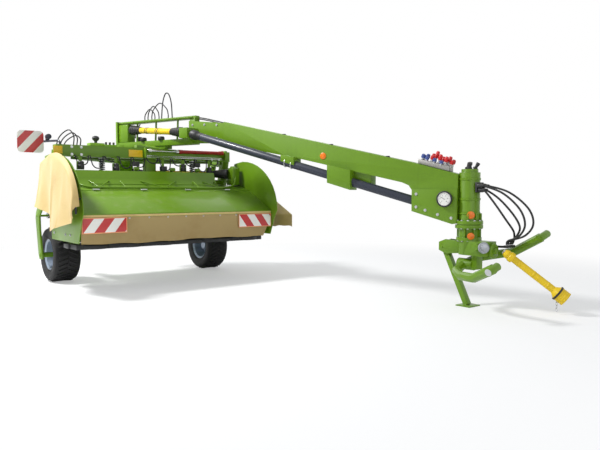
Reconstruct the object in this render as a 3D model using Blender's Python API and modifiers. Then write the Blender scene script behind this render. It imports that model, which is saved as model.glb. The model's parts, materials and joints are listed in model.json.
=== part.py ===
"""Trailed disc mower conditioner, parked on its wheels and drawbar stand.

Machine frame: X to the machine's left, Y rearward, Z up, axle midpoint on the ground at zero.
Everything hangs from one empty that moves this frame so that the origin is under the box's centre.
"""
import math

import bmesh
import bpy
from mathutils import Matrix, Vector

# ---------------------------------------------------------------- driving dimensions, metres
GAP = 0.0003                 # clearance between touching pieces
FRAME_SHIFT = Vector((-0.3014, 2.7388, 0.0))   # machine frame in the object's frame

TYRE_RADIUS = 0.425          # 15.0/55-17 implement tyre
TYRE_HALF_WIDTH = 0.195
BEAD_RADIUS = 0.225
HALF_TRACK = 1.305

DECK_HALF = 1.56             # side plates' outer faces
DECK_FRONT = -1.645
DECK_FRONT_TOP = 1.09
ARCH = (-0.80, 1.10, 1.01, 0.81)   # side plate's arch: centre Y and Z, reach forward, rise
SHEET = 0.008                # cover sheets
SIDE_SHEET = 0.010

GUARD_X = 1.665              # the right canvas hangs this far out
FLAP_TILT = 55.0             # degrees that the left canvas is folded out

CUTTER_Y = -1.25             # disc centres
DISC_PITCH = 0.50
DISC_COUNT = 6
DISC_REACH = 0.242           # blade tip radius
BAR_BOTTOM, BAR_TOP = 0.60, 0.665

ROTOR_Y, ROTOR_Z = -0.72, 0.985
ROTOR_HALF = 1.36

PORTAL_Y, PORTAL_Z = -0.42, 2.0
PORTAL_HALF = 1.40
PORTAL_SIZE = 0.17
CROSS_TUBE_TOP = 1.595       # the mower's own cross tube
SPRING_X = 0.78

ARM_PIVOT = (-0.25, 1.35)    # wheel arm's pin, Y and Z
ARM_X = 1.585
LIFT_EYE = (0.14, 1.02)      # lift rod's pin on the arm
LIFT_BASE = (-0.05, 1.90)    # lift barrel's pin on the frame
LIFT_X = 1.43

PIVOT_Y = 0.62               # drawbar's vertical pin
PIVOT_TOP = 2.02
SWING = math.radians(18.25)  # how far the parked drawbar is swung to the machine's left
COLUMN_K = 6.13              # swivel column, measured along the drawbar
COLUMN_SPLIT = 0.990         # height where the column's lower half starts
COLUMN_RADIUS = 0.125
FLANGE_RADIUS = 0.165
BEAM_WIDTH, HEAD_BOX_WIDTH, WEB_WIDTH = 0.22, 0.26, 0.13
TOWER_REAR = -0.06           # rear end of the drawbar's tower, from the pin
BEAM_UNDER = ((2.38, 2.117), (3.72, 1.86), (5.30, 1.507))   # underside: distance, height
ROLL_Z = 0.51                # hitch yoke's roll axis
ROLL = math.radians(17.0)
SWIVEL_BASE = (1.475, -0.27)  # swing barrel's pin
SWIVEL_EYE = (-0.10, -0.27)   # swing rod's eye at rest
SWIVEL_Z = 2.045

TUBE_RADIUS = 0.0575
HOSE_RADIUS = 0.012
TUBE_REAR = (1.845, -0.24, 2.284)   # the drive tube's ends: along the drawbar, to its left, height
TUBE_FRONT = (5.48, -0.048, 1.266)
HEAD_BOX_REAR = 5.44
# hangers of the drive tube: rear and front end, drop below the tube's middle, inner and outer face
TUBE_HANGERS = ((3.50, 3.72, 0.0, -0.21, -0.02), (4.25, 4.60, 0.10, -0.195, 0.0),
                (4.60, 4.84, 0.0, -0.06, 0.09))
SHAFT_REAR = (0.24, 0.0, 2.455)     # the guarded shaft behind the beam
SHAFT_FRONT = (1.60, -0.20, 2.33)

DRAW_DIR = Vector((math.sin(SWING), -math.cos(SWING), 0.0))
DRAW_SIDE = Vector((math.cos(SWING), math.sin(SWING), 0.0))
COLUMN = Vector((0.0, PIVOT_Y, 0.0)) + DRAW_DIR * COLUMN_K
PTO_TOP = COLUMN + Vector((0.06, -0.43, 0.70))
PTO_DIR = Vector((0.33, -0.59, -0.52)).normalized()
STAND_PIN = COLUMN + Vector((0.0, 0.35, 0.70))
STAND_FOOT = COLUMN

# ---------------------------------------------------------------- scene, collections, materials
for old in list(bpy.data.objects):
    bpy.data.objects.remove(old, do_unlink=True)
PARTS = bpy.data.collections.new("disc_mower_conditioner")
TOOLS = bpy.data.collections.new("cutters")
for collection in (PARTS, TOOLS):
    bpy.context.scene.collection.children.link(collection)

FINISHES = {                 # name: (colour, roughness, metallic)
    "green_paint": ((0.16, 0.42, 0.02), 0.35, 0.1),
    "steel": ((0.45, 0.46, 0.48), 0.35, 1.0),
    "zinc": ((0.62, 0.63, 0.62), 0.3, 1.0),
    "black_plastic": ((0.02, 0.02, 0.022), 0.5, 0.0),
    "rubber": ((0.015, 0.015, 0.015), 0.8, 0.0),
    "rim_paint": ((0.42, 0.46, 0.52), 0.35, 0.6),
    "yellow_plastic": ((0.85, 0.60, 0.02), 0.4, 0.0),
    "cloth": ((0.85, 0.62, 0.28), 0.8, 0.0),
    "red_paint": ((0.6, 0.03, 0.02), 0.4, 0.1),
    "board": ((0.85, 0.85, 0.82), 0.5, 0.0),
    "tube_paint": ((0.05, 0.06, 0.09), 0.4, 0.2),
}


def material(name):
    """The finish as a Principled material, made once."""
    made = bpy.data.materials.get(name)
    if made is None:
        made = bpy.data.materials.new(name)
        made.use_nodes = True
        colour, roughness, metallic = FINISHES[name]
        shader = made.node_tree.nodes["Principled BSDF"]
        shader.inputs["Base Color"].default_value = (*colour, 1.0)
        shader.inputs["Roughness"].default_value = roughness
        shader.inputs["Metallic"].default_value = metallic
    return made


# ---------------------------------------------------------------- shape helpers
def raw(mesh, name="piece"):
    made = bpy.data.objects.new(name, mesh)
    TOOLS.objects.link(made)
    made.hide_render = True
    made.display_type = "WIRE"
    return made


def turn_outwards(work):
    """Makes a closed mesh's faces point out."""
    bmesh.ops.recalc_face_normals(work, faces=work.faces)
    if work.calc_volume(signed=True) < 0:
        bmesh.ops.reverse_faces(work, faces=work.faces)


def from_bmesh(work, matrix=None):
    mesh = bpy.data.meshes.new("piece")
    if matrix is not None:
        work.transform(matrix)
    turn_outwards(work)
    work.to_mesh(mesh)
    work.free()
    return raw(mesh)


def settle(source):
    """The evaluated object as a plain welded mesh object; the source is removed."""
    graph = bpy.context.evaluated_depsgraph_get()
    mesh = bpy.data.meshes.new_from_object(source.evaluated_get(graph))
    mesh.transform(source.matrix_world)
    work = bmesh.new()
    work.from_mesh(mesh)
    bmesh.ops.remove_doubles(work, verts=work.verts, dist=1e-5)
    turn_outwards(work)
    work.to_mesh(mesh)
    work.free()
    bpy.data.objects.remove(source, do_unlink=True)
    return raw(mesh)


def line_frame(start, end, up=(0.0, 0.0, 1.0)):
    """A matrix whose X runs from start to end and whose Z is as near to up as it can be."""
    along = (Vector(end) - Vector(start)).normalized()
    side = Vector(up).cross(along)
    if side.length < 1e-4:
        side = Vector((0.0, 1.0, 0.0)).cross(along)
    side.normalize()
    rise = along.cross(side)
    turn = Matrix((along, side, rise)).transposed().to_4x4()
    return Matrix.Translation(Vector(start)) @ turn


def spin_frame(start, end):
    """A matrix that takes a turned shape's own axis from start towards end."""
    return line_frame(start, end) @ Matrix.Rotation(math.pi / 2, 4, "Y")


def block(low, high, matrix=None):
    """A box between two corners."""
    low, high = Vector(low), Vector(high)
    work = bmesh.new()
    bmesh.ops.create_cube(work, size=1.0)
    size = high - low
    work.transform(Matrix.Translation((low + high) / 2) @ Matrix.Diagonal((*size, 1.0)))
    return from_bmesh(work, matrix)


def beam(start, end, width, height, up=(0.0, 0.0, 1.0)):
    """A square bar from start to end."""
    length = (Vector(end) - Vector(start)).length
    return block((0, -width / 2, -height / 2), (length, width / 2, height / 2), line_frame(start, end, up))


def rod(start, end, radius, sides=14, end_radius=None):
    """A round bar or a cone from start to end."""
    start, end = Vector(start), Vector(end)
    work = bmesh.new()
    bmesh.ops.create_cone(work, cap_ends=True, segments=sides, radius1=radius,
                          radius2=radius if end_radius is None else end_radius,
                          depth=(end - start).length)
    turn = (end - start).to_track_quat("Z", "Y").to_matrix().to_4x4()
    return from_bmesh(work, Matrix.Translation((start + end) / 2) @ turn)


def plate(outline, thickness, matrix):
    """A flat outline in its own XY plane, extruded evenly to both sides, then placed."""
    curve = bpy.data.curves.new("outline", "CURVE")
    curve.dimensions = "2D"
    curve.fill_mode = "BOTH"
    curve.extrude = thickness / 2
    spline = curve.splines.new("POLY")
    spline.points.add(len(outline) - 1)
    for point, (x, y) in zip(spline.points, outline):
        point.co = (x, y, 0.0, 1.0)
    spline.use_cyclic_u = True
    made = bpy.data.objects.new("outline", curve)
    TOOLS.objects.link(made)
    bpy.context.view_layer.update()
    made = settle(made)
    made.data.transform(matrix)
    return made


def pipe(points, radius, resolution=2):
    """A round tube with filled ends along hand-placed points."""
    curve = bpy.data.curves.new("pipe", "CURVE")
    curve.dimensions = "3D"
    curve.bevel_depth = radius
    curve.bevel_resolution = resolution
    curve.use_fill_caps = True
    spline = curve.splines.new("POLY")
    spline.points.add(len(points) - 1)
    for point, place in zip(spline.points, points):
        point.co = (*place, 1.0)
    made = bpy.data.objects.new("pipe", curve)
    TOOLS.objects.link(made)
    bpy.context.view_layer.update()
    return settle(made)


def turned(profile, matrix, steps=32, closed=True):
    """A turned shape: (radius, height) pairs down the outer side, spun about Z."""
    work = bmesh.new()
    verts = [work.verts.new((radius, 0.0, height)) for radius, height in profile]
    for first, second in zip(verts, verts[1:]):
        work.edges.new((first, second))
    if closed:
        work.edges.new((verts[-1], verts[0]))
    mesh = bpy.data.meshes.new("profile")
    work.to_mesh(mesh)
    work.free()
    made = raw(mesh)
    screw = made.modifiers.new("Screw", "SCREW")
    screw.steps = screw.render_steps = steps
    screw.use_merge_vertices = True
    screw.merge_threshold = 0.00005
    bpy.context.view_layer.update()
    made = settle(made)
    made.data.transform(matrix)
    return made


def smooth_route(points, count):
    """Evenly many points on a smooth curve through the route's own points."""
    points = [Vector(point) for point in points]
    ends = [2 * points[0] - points[1]] + points + [2 * points[-1] - points[-2]]
    spans = len(points) - 1
    route = []
    for index in range(count + 1):
        place = min(index * spans / count, spans - 1e-9)
        span = int(place)
        t = place - span
        p0, p1, p2, p3 = ends[span:span + 4]
        route.append(0.5 * (2 * p1 + (p2 - p0) * t + (2 * p0 - 5 * p1 + 4 * p2 - p3) * t * t
                            + (3 * p1 - p0 - 3 * p2 + p3) * t ** 3))
    return route


def combine(target, tool, operation):
    modifier = target.modifiers.new(operation, "BOOLEAN")
    modifier.operation = operation
    modifier.solver = "EXACT"
    modifier.object = tool
    bpy.context.view_layer.update()
    graph = bpy.context.evaluated_depsgraph_get()
    mesh = bpy.data.meshes.new_from_object(target.evaluated_get(graph))
    bpy.data.objects.remove(target, do_unlink=True)
    bpy.data.objects.remove(tool, do_unlink=True)
    return raw(mesh)


VEHICLE = bpy.data.objects.new("vehicle_frame", None)
VEHICLE.location = FRAME_SHIFT
PARTS.objects.link(VEHICLE)


def part(name, finish, pieces, cuts=(), pin=(0.0, 0.0, 0.0)):
    """One named node: its pieces joined, its cuts taken away, its origin on its pin."""
    whole = pieces[0]
    for piece in pieces[1:]:
        whole = combine(whole, piece, "UNION")
    for cut in cuts:
        whole = combine(whole, cut, "DIFFERENCE")
    pin = Vector(pin)
    mesh = whole.data
    bpy.data.objects.remove(whole, do_unlink=True)
    mesh.name = name
    mesh.transform(Matrix.Translation(-pin))
    mesh.materials.clear()
    mesh.materials.append(material(finish))
    mesh.shade_smooth()
    mesh.set_sharp_from_angle(angle=math.radians(35))
    made = bpy.data.objects.new(name, mesh)
    made.location = pin
    made.parent = VEHICLE
    PARTS.objects.link(made)
    return made


def side_frame(x):
    """Maps an outline's (Y, Z) onto the upright plane at x."""
    return Matrix(((0, 0, 1, x), (1, 0, 0, 0), (0, 1, 0, 0), (0, 0, 0, 1)))


# X along the drawbar from its pin, Y to its left, Z up
DRAW_FRAME = Matrix(((DRAW_DIR.x, DRAW_SIDE.x, 0, 0), (DRAW_DIR.y, DRAW_SIDE.y, 0, PIVOT_Y),
                     (0, 0, 1, 0), (0, 0, 0, 1)))


def draw(k, w, z):
    return DRAW_FRAME @ Vector((k, w, z))


def draw_profile(w=0.0):
    """Maps an outline's (distance along the drawbar, height) onto the upright plane at w."""
    return DRAW_FRAME @ Matrix(((1, 0, 0, 0), (0, 0, -1, w), (0, 1, 0, 0), (0, 0, 0, 1)))


def head(f, w, z):
    """A place on the hitch head: forward of the column, to its left, and height."""
    return Vector((COLUMN.x + w, COLUMN.y - f, z))


def mirror_name(side):
    return "left" if side > 0 else "right"


# ---------------------------------------------------------------- wheels and their arms
def wheels():
    tyre_profile = [(BEAD_RADIUS, 0.165), (0.300, TYRE_HALF_WIDTH - 0.005), (0.375, TYRE_HALF_WIDTH),
                    (0.412, 0.168), (TYRE_RADIUS, 0.10)]
    tyre_profile += [(radius, -height) for radius, height in reversed(tyre_profile)]
    rim = [(0.0, 0.075), (0.055, 0.075), (0.062, 0.03), (0.14, 0.012), (0.196, 0.05), (0.203, 0.15),
           (BEAD_RADIUS - GAP, 0.163), (BEAD_RADIUS - GAP, -0.163), (0.203, -0.15), (0.192, -0.005),
           (0.13, -0.03), (0.08, -0.03), (0.08, -0.09), (0.0, -0.09)]
    for side in (1, -1):
        name = mirror_name(side)
        hub = Vector((side * HALF_TRACK, 0.0, TYRE_RADIUS))
        outward = Matrix.Rotation(side * math.pi / 2, 4, "Y")
        place = Matrix.Translation(hub) @ outward
        part("tyre_" + name, "rubber", [turned(tyre_profile, place, 36)], pin=hub)
        part("rim_" + name, "rim_paint", [turned(rim, place, 36, closed=False)], pin=hub)

        pin = (side * ARM_X, *ARM_PIVOT)
        outline = [(-0.34, 1.42), (-0.34, 1.28), (-0.20, 1.20), (0.03, 1.02), (0.02, 0.80), (-0.07, 0.45),
                   (-0.06, 0.36), (0.06, 0.36), (0.10, 0.45), (0.17, 0.80), (0.21, 1.00), (0.18, 1.08),
                   (-0.10, 1.32), (-0.17, 1.42)]
        arm = plate(outline, 0.03, side_frame(side * ARM_X))
        stub = rod((side * (HALF_TRACK + 0.077), 0.0, TYRE_RADIUS),
                   (side * (ARM_X + 0.03), 0.0, TYRE_RADIUS), 0.04)
        boss = rod((side * 1.505, *ARM_PIVOT), (side * (ARM_X + 0.035), *ARM_PIVOT), 0.06)
        eye_pin = rod((side * (LIFT_X - 0.045), *LIFT_EYE), (side * (ARM_X + 0.025), *LIFT_EYE), 0.018, 10)
        part("wheel_arm_" + name, "green_paint", [arm, stub, boss, eye_pin], pin=pin)
        lift_cylinder(side)


def lift_cylinder(side):
    name = mirror_name(side)
    base = Vector((side * LIFT_X, *LIFT_BASE))
    eye = Vector((side * LIFT_X, *LIFT_EYE))
    along = line_frame(base, eye)
    spin = spin_frame(base, eye)
    length = (eye - base).length
    barrel_body = turned([(0.045, 0.58), (0.045, 0.03), (0.0, 0.03), (0.0, 0.08), (0.033, 0.08),
                          (0.033, 0.58)],
                         spin, 20)
    lug = rod(base - Vector((0.045, 0, 0)), base + Vector((0.045, 0, 0)), 0.045, 14)
    lug_bore = rod(base - Vector((0.05, 0, 0)), base + Vector((0.05, 0, 0)), 0.0205, 14)
    part("lift_barrel_" + name, "green_paint", [barrel_body, lug], [lug_bore], pin=base)
    shaft = rod(along @ Vector((0.32, 0, 0)), along @ Vector((length - 0.035, 0, 0)), 0.022)
    ring = rod(eye - Vector((0.018, 0, 0)), eye + Vector((0.018, 0, 0)), 0.048, 16)
    hole = rod(eye - Vector((0.05, 0, 0)), eye + Vector((0.05, 0, 0)), 0.029, 16)
    part("lift_rod_" + name, "steel", [shaft, ring], [hole], pin=base)


# ---------------------------------------------------------------- carrier frame
def carrier():
    half = PORTAL_SIZE / 2
    pieces = [block((-PORTAL_HALF - 0.08, PORTAL_Y - half, PORTAL_Z - half),
                    (PORTAL_HALF + 0.08, PORTAL_Y + half, PORTAL_Z + half))]
    for side in (1, -1):
        # leg from the crossbeam's end down to the wheel arm's pin, and the lift cylinder's ears
        pieces.append(beam((side * 1.44, PORTAL_Y + 0.02, PORTAL_Z),
                           (side * 1.44, ARM_PIVOT[0], ARM_PIVOT[1] - 0.05),
                           0.12, 0.12, up=(1, 0, 0)))
        pieces.append(rod((side * 1.36, *ARM_PIVOT), (side * 1.499, *ARM_PIVOT), 0.07))
        for x in (LIFT_X - 0.062, LIFT_X + 0.062):
            pieces.append(plate([(-0.38, 1.96), (-0.38, 1.86), (-0.06, 1.84), (0.0, 1.88), (0.0, 1.93)],
                                0.016,
                                side_frame(side * x)))
        pieces.append(rod((side * (LIFT_X - 0.075), *LIFT_BASE), (side * (LIFT_X + 0.075), *LIFT_BASE),
                          0.0185, 14))
    # bracket and pin for the swing cylinder's barrel
    pieces.append(block((1.42, PORTAL_Y + half - 0.01, SWIVEL_Z - 0.068),
                        (1.53, PORTAL_Y + half + 0.005, SWIVEL_Z + 0.068)))
    for z in (SWIVEL_Z - 0.062, SWIVEL_Z + 0.062):
        pieces.append(block((1.42, PORTAL_Y + half - 0.01, z - 0.006),
                            (1.53, SWIVEL_BASE[1] + 0.06, z + 0.006)))
    pieces.append(rod((*SWIVEL_BASE, SWIVEL_Z - 0.075), (*SWIVEL_BASE, SWIVEL_Z + 0.075), 0.0185, 16))
    part("portal_frame", "green_paint", pieces)

    pieces = []
    for side in (1, -1):
        pieces.append(beam((side * 1.20, PORTAL_Y + half - 0.05, 1.93), (side * 0.06, PIVOT_Y, 1.93), 0.11,
                           0.10))
    pieces.append(block((-1.15, PORTAL_Y + half - 0.05, 1.885), (1.15, PORTAL_Y + half + 0.05, 1.975)))
    pieces.append(rod((0, PIVOT_Y, 1.86), (0, PIVOT_Y, PIVOT_TOP - 0.006), 0.19, 24))
    pieces.append(block((-0.12, 0.50, 1.60), (0.12, 0.74, 1.87)))      # gearbox under the pivot
    # a flat cut keeps the whole triangle behind the crossbeam
    trim = block((-2, PORTAL_Y - 1, 1.7), (2, PORTAL_Y + half + GAP, 2.3))
    part("pivot_frame", "green_paint", pieces, [trim])

    # springs and a centre link between the crossbeam and the mower's own cross tube
    underside = PORTAL_Z - half - GAP
    for side in (1, -1):
        x = side * SPRING_X
        part("suspension_spring_" + mirror_name(side), "tube_paint",
             [rod((x, PORTAL_Y, underside), (x, PORTAL_Y, CROSS_TUBE_TOP + GAP), 0.05, 16)])
    part("mower_cross_tube", "green_paint", [
        block((-1.34, PORTAL_Y - 0.09, CROSS_TUBE_TOP - 0.08), (1.34, PORTAL_Y + 0.09, CROSS_TUBE_TOP)),
        block((-0.09, PORTAL_Y - 0.06, CROSS_TUBE_TOP - 0.015), (0.09, PORTAL_Y + 0.06, underside))])


# ---------------------------------------------------------------- mower deck
def arch_points(grow, count=10):
    """The side plate's quarter-round top, from its foremost point up to its highest, grown outward."""
    centre_y, centre_z, reach, rise = ARCH
    points = []
    for index in range(count + 1):
        angle = math.radians(180 - 90 * index / count)
        points.append((centre_y + (reach + grow) * math.cos(angle),
                       centre_z + (rise + grow) * math.sin(angle)))
    return points


def sheet_strip(spine, thickness):
    """A strip of sheet: the spine's points and the same points set down by its thickness."""
    lower = []
    for index, (y, z) in enumerate(spine):
        before = Vector(spine[max(index - 1, 0)])
        after = Vector(spine[min(index + 1, len(spine) - 1)])
        run = (after - before).normalized()
        lower.append((y + run.y * thickness, z - run.x * thickness))
    return list(spine) + list(reversed(lower))


def deck():
    inner = DECK_HALF - SIDE_SHEET - 2 * GAP
    for side in (1, -1):
        name = mirror_name(side)
        outline = [(-1.62, 0.70), (-1.74, 0.98)] + arch_points(0.0) + [(-0.55, 1.88), (-0.47, 1.70),
                                                                       (-0.47, 0.70)]
        part("side_plate_" + name, "green_paint",
             [plate(outline, SIDE_SHEET, side_frame(side * (DECK_HALF - SIDE_SHEET / 2)))])

    spine = [(-1.02, 1.41), (-0.80, 1.47), (-0.52, 1.505), (-0.33, 1.50), (-0.10, 1.42), (0.30, 1.22)]
    hood = plate(sheet_strip(spine, SHEET), 2 * inner, side_frame(0.0))
    # the hood's upright back, which ends before the side gearbox
    back_right, back_left = -1.40, 1.06
    back = plate(sheet_strip([(-0.80, 1.4685), (-0.70, 1.60), (-0.665, 1.71)], SHEET), back_left - back_right,
                 side_frame((back_left + back_right) / 2))
    # cut back beside the wheels
    notches = [block((side * 1.395 - 0.305, -0.455, 1.0), (side * 1.395 + 0.305, 0.4, 1.7)) for side in (1,
                                                                                                         -1)]
    part("mower_hood", "green_paint", [hood, back], notches)

    # the rotor's end walls, joined by the plate that the crop passes over behind it
    outline = [(-1.00, 0.72), (-1.00, 1.38), (-0.80, 1.44), (-0.52, 1.47), (-0.46, 0.95), (-0.36, 0.88),
               (-0.36, 0.70), (-0.50, 0.655)]
    pieces = [plate(sheet_strip([(-0.50, 0.66), (-0.40, 0.72), (-0.37, 0.80)], SHEET), 2.804,
                    side_frame(0.0))]
    for side in (1, -1):
        pieces.append(plate(outline, SIDE_SHEET, side_frame(side * 1.40)))
        pieces.append(rod((side * 1.38, ROTOR_Y, ROTOR_Z), (side * 1.43, ROTOR_Y, ROTOR_Z), 0.07))
    part("rotor_housing", "green_paint", pieces)


def cutterbar():
    pieces = [block((-1.52, CUTTER_Y - 0.16, BAR_BOTTOM), (1.52, CUTTER_Y + 0.16, BAR_TOP))]
    pieces.append(block((-1.545, CUTTER_Y + 0.10, BAR_BOTTOM + 0.004),
                        (1.545, CUTTER_Y + 0.30, BAR_TOP - 0.004)))
    for index in range(DISC_COUNT):
        x = (index - (DISC_COUNT - 1) / 2) * DISC_PITCH
        pieces.append(rod((x, CUTTER_Y - 0.03, BAR_BOTTOM + 0.005), (x, CUTTER_Y - 0.03, BAR_TOP - 0.005),
                          0.22, 18))
        pieces.append(rod((x, CUTTER_Y, BAR_TOP - 0.01), (x, CUTTER_Y, BAR_TOP + 0.02), 0.06, 14))
    part("cutterbar", "black_plastic", pieces)
    for index in range(DISC_COUNT):
        x = (index - (DISC_COUNT - 1) / 2) * DISC_PITCH
        base = BAR_TOP + 0.026
        turn = math.radians(90 * (index % 2))
        blade = Matrix.Translation((x, CUTTER_Y, base + 0.008)) @ Matrix.Rotation(turn, 4, "Z")
        dome = turned([(0.0, 0.075), (0.05, 0.07), (0.10, 0.035), (0.175, 0.02), (0.18, 0.0), (0.0, 0.0)],
                      Matrix.Translation((x, CUTTER_Y, base)), 20, closed=False)
        knives = block((-DISC_REACH, -0.022, -0.004), (DISC_REACH, 0.022, 0.004), blade)
        part("disc_%d" % (index + 1), "steel", [dome, knives], pin=(x, CUTTER_Y, base))


def rotor():
    pieces = [rod((-ROTOR_HALF, ROTOR_Y, ROTOR_Z), (ROTOR_HALF, ROTOR_Y, ROTOR_Z), 0.10, 16)]
    columns = 14
    for index in range(columns):
        x = -ROTOR_HALF + 0.10 + index * (2 * ROTOR_HALF - 0.2) / (columns - 1)
        for turn in ((0, 180) if index % 2 else (90, 270)):
            angle = math.radians(turn)
            away = Vector((0, math.cos(angle), math.sin(angle)))
            foot = Vector((x, ROTOR_Y, ROTOR_Z)) + away * 0.08
            pieces.append(beam(foot, foot + away * 0.16, 0.05, 0.014, up=(1, 0, 0)))
    part("conditioner_rotor", "steel", pieces, pin=(0, ROTOR_Y, ROTOR_Z))


def guards():
    pin = (0.0, -1.00, 1.425)
    inner = DECK_HALF - SIDE_SHEET - 0.006
    flap = plate(sheet_strip([(DECK_FRONT, DECK_FRONT_TOP), (-1.035, 1.402)], SHEET), 2 * inner,
                 side_frame(0.0))
    hem_z = DECK_FRONT_TOP - 0.045
    lip = block((-inner, DECK_FRONT - 0.012, hem_z), (inner, DECK_FRONT + 0.012, DECK_FRONT_TOP - 0.001))
    part("front_guard", "green_paint", [flap, lip], pin=pin)
    curtain = block((-inner, DECK_FRONT - 0.006, 0.685), (inner, DECK_FRONT + 0.006, hem_z - GAP))
    part("front_curtain", "cloth", [curtain], pin=pin)
    # canvas over the right-hand side, hung from a rail along the side plate's arch and past the wheel arm
    outline = [(-1.62, 1.02)] + arch_points(-0.02, 6) + [(-0.30, 1.80), (-0.31, 1.19), (-0.92, 1.04),
                                                         (-0.90, 0.84), (-1.25, 0.91)]
    x = -GUARD_X
    rail = [pipe([(x + 0.03, y, z) for y, z in arch_points(-0.05, 6) + [(-0.40, 1.80)]], 0.014, 2)]
    pegs = [rod((-DECK_HALF - GAP, y, z), (x + 0.03, y, z), 0.012, 8) for y, z in arch_points(-0.05, 6)[1::2]]
    part("guard_rail_right", "tube_paint", rail + pegs)
    part("side_guard_right", "cloth", [plate(outline, 0.02, side_frame(x))], pin=(x, 0, 1.895))
    flap_pin = Vector((DECK_HALF + 0.012, -1.16, 1.27))
    turn = Matrix.Translation(flap_pin) @ Matrix.Rotation(math.radians(-FLAP_TILT), 4, "Y")
    slope = block((-0.006, -0.52, -0.47), (0.006, 0.52, -0.012), turn)
    edge = turn @ Vector((0, 0, -0.462))
    hem = block((edge.x - 0.006, flap_pin.y - 0.52, edge.z - 0.20),
                (edge.x + 0.006, flap_pin.y + 0.52, edge.z))
    part("side_guard_left", "cloth", [slope, hem], pin=flap_pin)


def swath_doors():
    for side in (1, -1):
        pin = Vector((side * 1.02, -0.30, 0.95))
        name = mirror_name(side)
        outline = [(-0.30, 0.74), (-0.30, 1.18), (0.20, 1.16), (0.62, 1.00), (0.66, 0.74)]
        door = plate(outline, SIDE_SHEET, side_frame(side * 1.02))
        part("swath_door_" + name, "green_paint", [door], pin=pin)


# ---------------------------------------------------------------- drawbar
def between(points, place):
    """Height at a distance along a line of (distance, height) points."""
    for (k0, z0), (k1, z1) in zip(points, points[1:]):
        if place <= k1 or (k1, z1) == points[-1]:
            return z0 + (z1 - z0) * (place - k0) / (k1 - k0)


def drawbar():
    pin = (0, PIVOT_Y, PIVOT_TOP)
    goose = [(2.38, 2.454), (3.72, 2.14), (5.42, 1.76), (6.02, 1.60), (6.02, 1.30), (5.455, 1.30),
             (5.44, 1.40),
             (5.39, 1.47)] + list(reversed(BEAM_UNDER))
    pieces = [plate(goose, BEAM_WIDTH, draw_profile())]
    web = [(1.62, 2.52), (2.42, 2.435), (2.42, 2.135), (1.62, 2.17)]
    pieces.append(plate(web, WEB_WIDTH, draw_profile()))
    # the open tower behind the beam: lower rail, upper rail, front and rear posts, pivot drum, shaft bearing
    pieces.append(block((TOWER_REAR, -0.10, 2.15), (1.70, 0.10, 2.24), DRAW_FRAME))
    pieces.append(block((TOWER_REAR, -0.045, 2.552), (1.75, 0.045, 2.60), DRAW_FRAME))
    pieces.append(block((1.63, -0.055, 2.40), (1.74, 0.055, 2.57), DRAW_FRAME))
    pieces.append(block((TOWER_REAR, -0.11, 2.15), (TOWER_REAR + 0.04, 0.11, 2.60), DRAW_FRAME))
    pieces.append(rod((0, PIVOT_Y, PIVOT_TOP), (0, PIVOT_Y, 2.20), 0.17, 24))
    pieces.append(block((1.64, -0.31, 2.225), (1.81, -0.05, 2.385), DRAW_FRAME))
    # lever that the swing cylinder pushes
    lever_z = SWIVEL_Z + 0.075
    eye = Vector((*SWIVEL_EYE, lever_z))
    root = draw(0.98, 0, lever_z)
    reach = (root - eye).normalized()
    pieces.append(beam(root + reach * 0.05, eye - reach * 0.06, 0.12, 0.06))
    pieces.append(block((0.86, -0.08, 2.10), (1.10, 0.08, 2.20), DRAW_FRAME))
    box_outline = [(HEAD_BOX_REAR, 1.42), (6.018, 1.42), (6.018, 1.005), (5.96, 0.997),
                   (HEAD_BOX_REAR, 1.146)]
    pieces.append(plate(box_outline, HEAD_BOX_WIDTH, draw_profile()))
    tube_ends = (TUBE_REAR[0], TUBE_REAR[2]), (TUBE_FRONT[0], TUBE_FRONT[2])
    for rear, front, drop, outer, inner in TUBE_HANGERS:
        outline = [(rear, between(BEAM_UNDER, rear) + 0.01), (front, between(BEAM_UNDER, front) + 0.01),
                   (front, between(tube_ends, front) - drop), (rear, between(tube_ends, rear) - drop)]
        pieces.append(plate(outline, inner - outer, draw_profile((inner + outer) / 2)))
    channel = rod(draw(*TUBE_REAR), draw(*TUBE_FRONT), TUBE_RADIUS + GAP, 18)
    solid_box = block((HEAD_BOX_REAR, -0.2, 0.9), (5.7, 0.2, 1.6), DRAW_FRAME)
    channel = combine(channel, solid_box, "DIFFERENCE")
    part("drawbar_beam", "green_paint", pieces, [channel], pin=pin)

    split = COLUMN + Vector((0, 0, COLUMN_SPLIT + 0.006))
    column = [rod(split, COLUMN + Vector((0, 0, 1.62)), COLUMN_RADIUS, 24),
              rod(split, COLUMN + Vector((0, 0, 1.04)), FLANGE_RADIUS, 24),
              rod(COLUMN + Vector((0, 0, 1.60)), COLUMN + Vector((0, 0, 1.66)), 0.10, 24)]
    clear = block((5.0, -0.3, 0.9), (6.02 + GAP, 0.3, 1.9), DRAW_FRAME)
    part("swivel_column_upper", "green_paint", column, [clear], pin=pin)

    # the driveline beside the beam, and the short guarded shaft behind it
    stop = block((HEAD_BOX_REAR - GAP, -0.2, 0.9), (5.7, 0.2, 1.6), DRAW_FRAME)
    part("drive_tube", "tube_paint", [rod(draw(*TUBE_REAR), draw(*TUBE_FRONT), TUBE_RADIUS, 18)], [stop],
         pin=pin)
    rear, front = draw(*SHAFT_REAR), draw(*SHAFT_FRONT)
    length = (front - rear).length
    profile = [(0.0, length), (0.080, length), (0.080, length - 0.04), (0.055, length - 0.24),
               (0.050, length - 0.26),
               (0.050, 0.26), (0.055, 0.24), (0.080, 0.04), (0.080, 0.0), (0.0, 0.0)]
    shaft = turned(profile, spin_frame(rear, front), 20, closed=False)
    part("rear_drive_shaft", "yellow_plastic", [shaft], pin=pin)
    gearbox = block((-0.015, -0.085, 2.24 + GAP), (0.215, 0.085, 2.545), DRAW_FRAME)
    part("pivot_gearbox", "green_paint", [gearbox], pin=pin)


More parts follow.
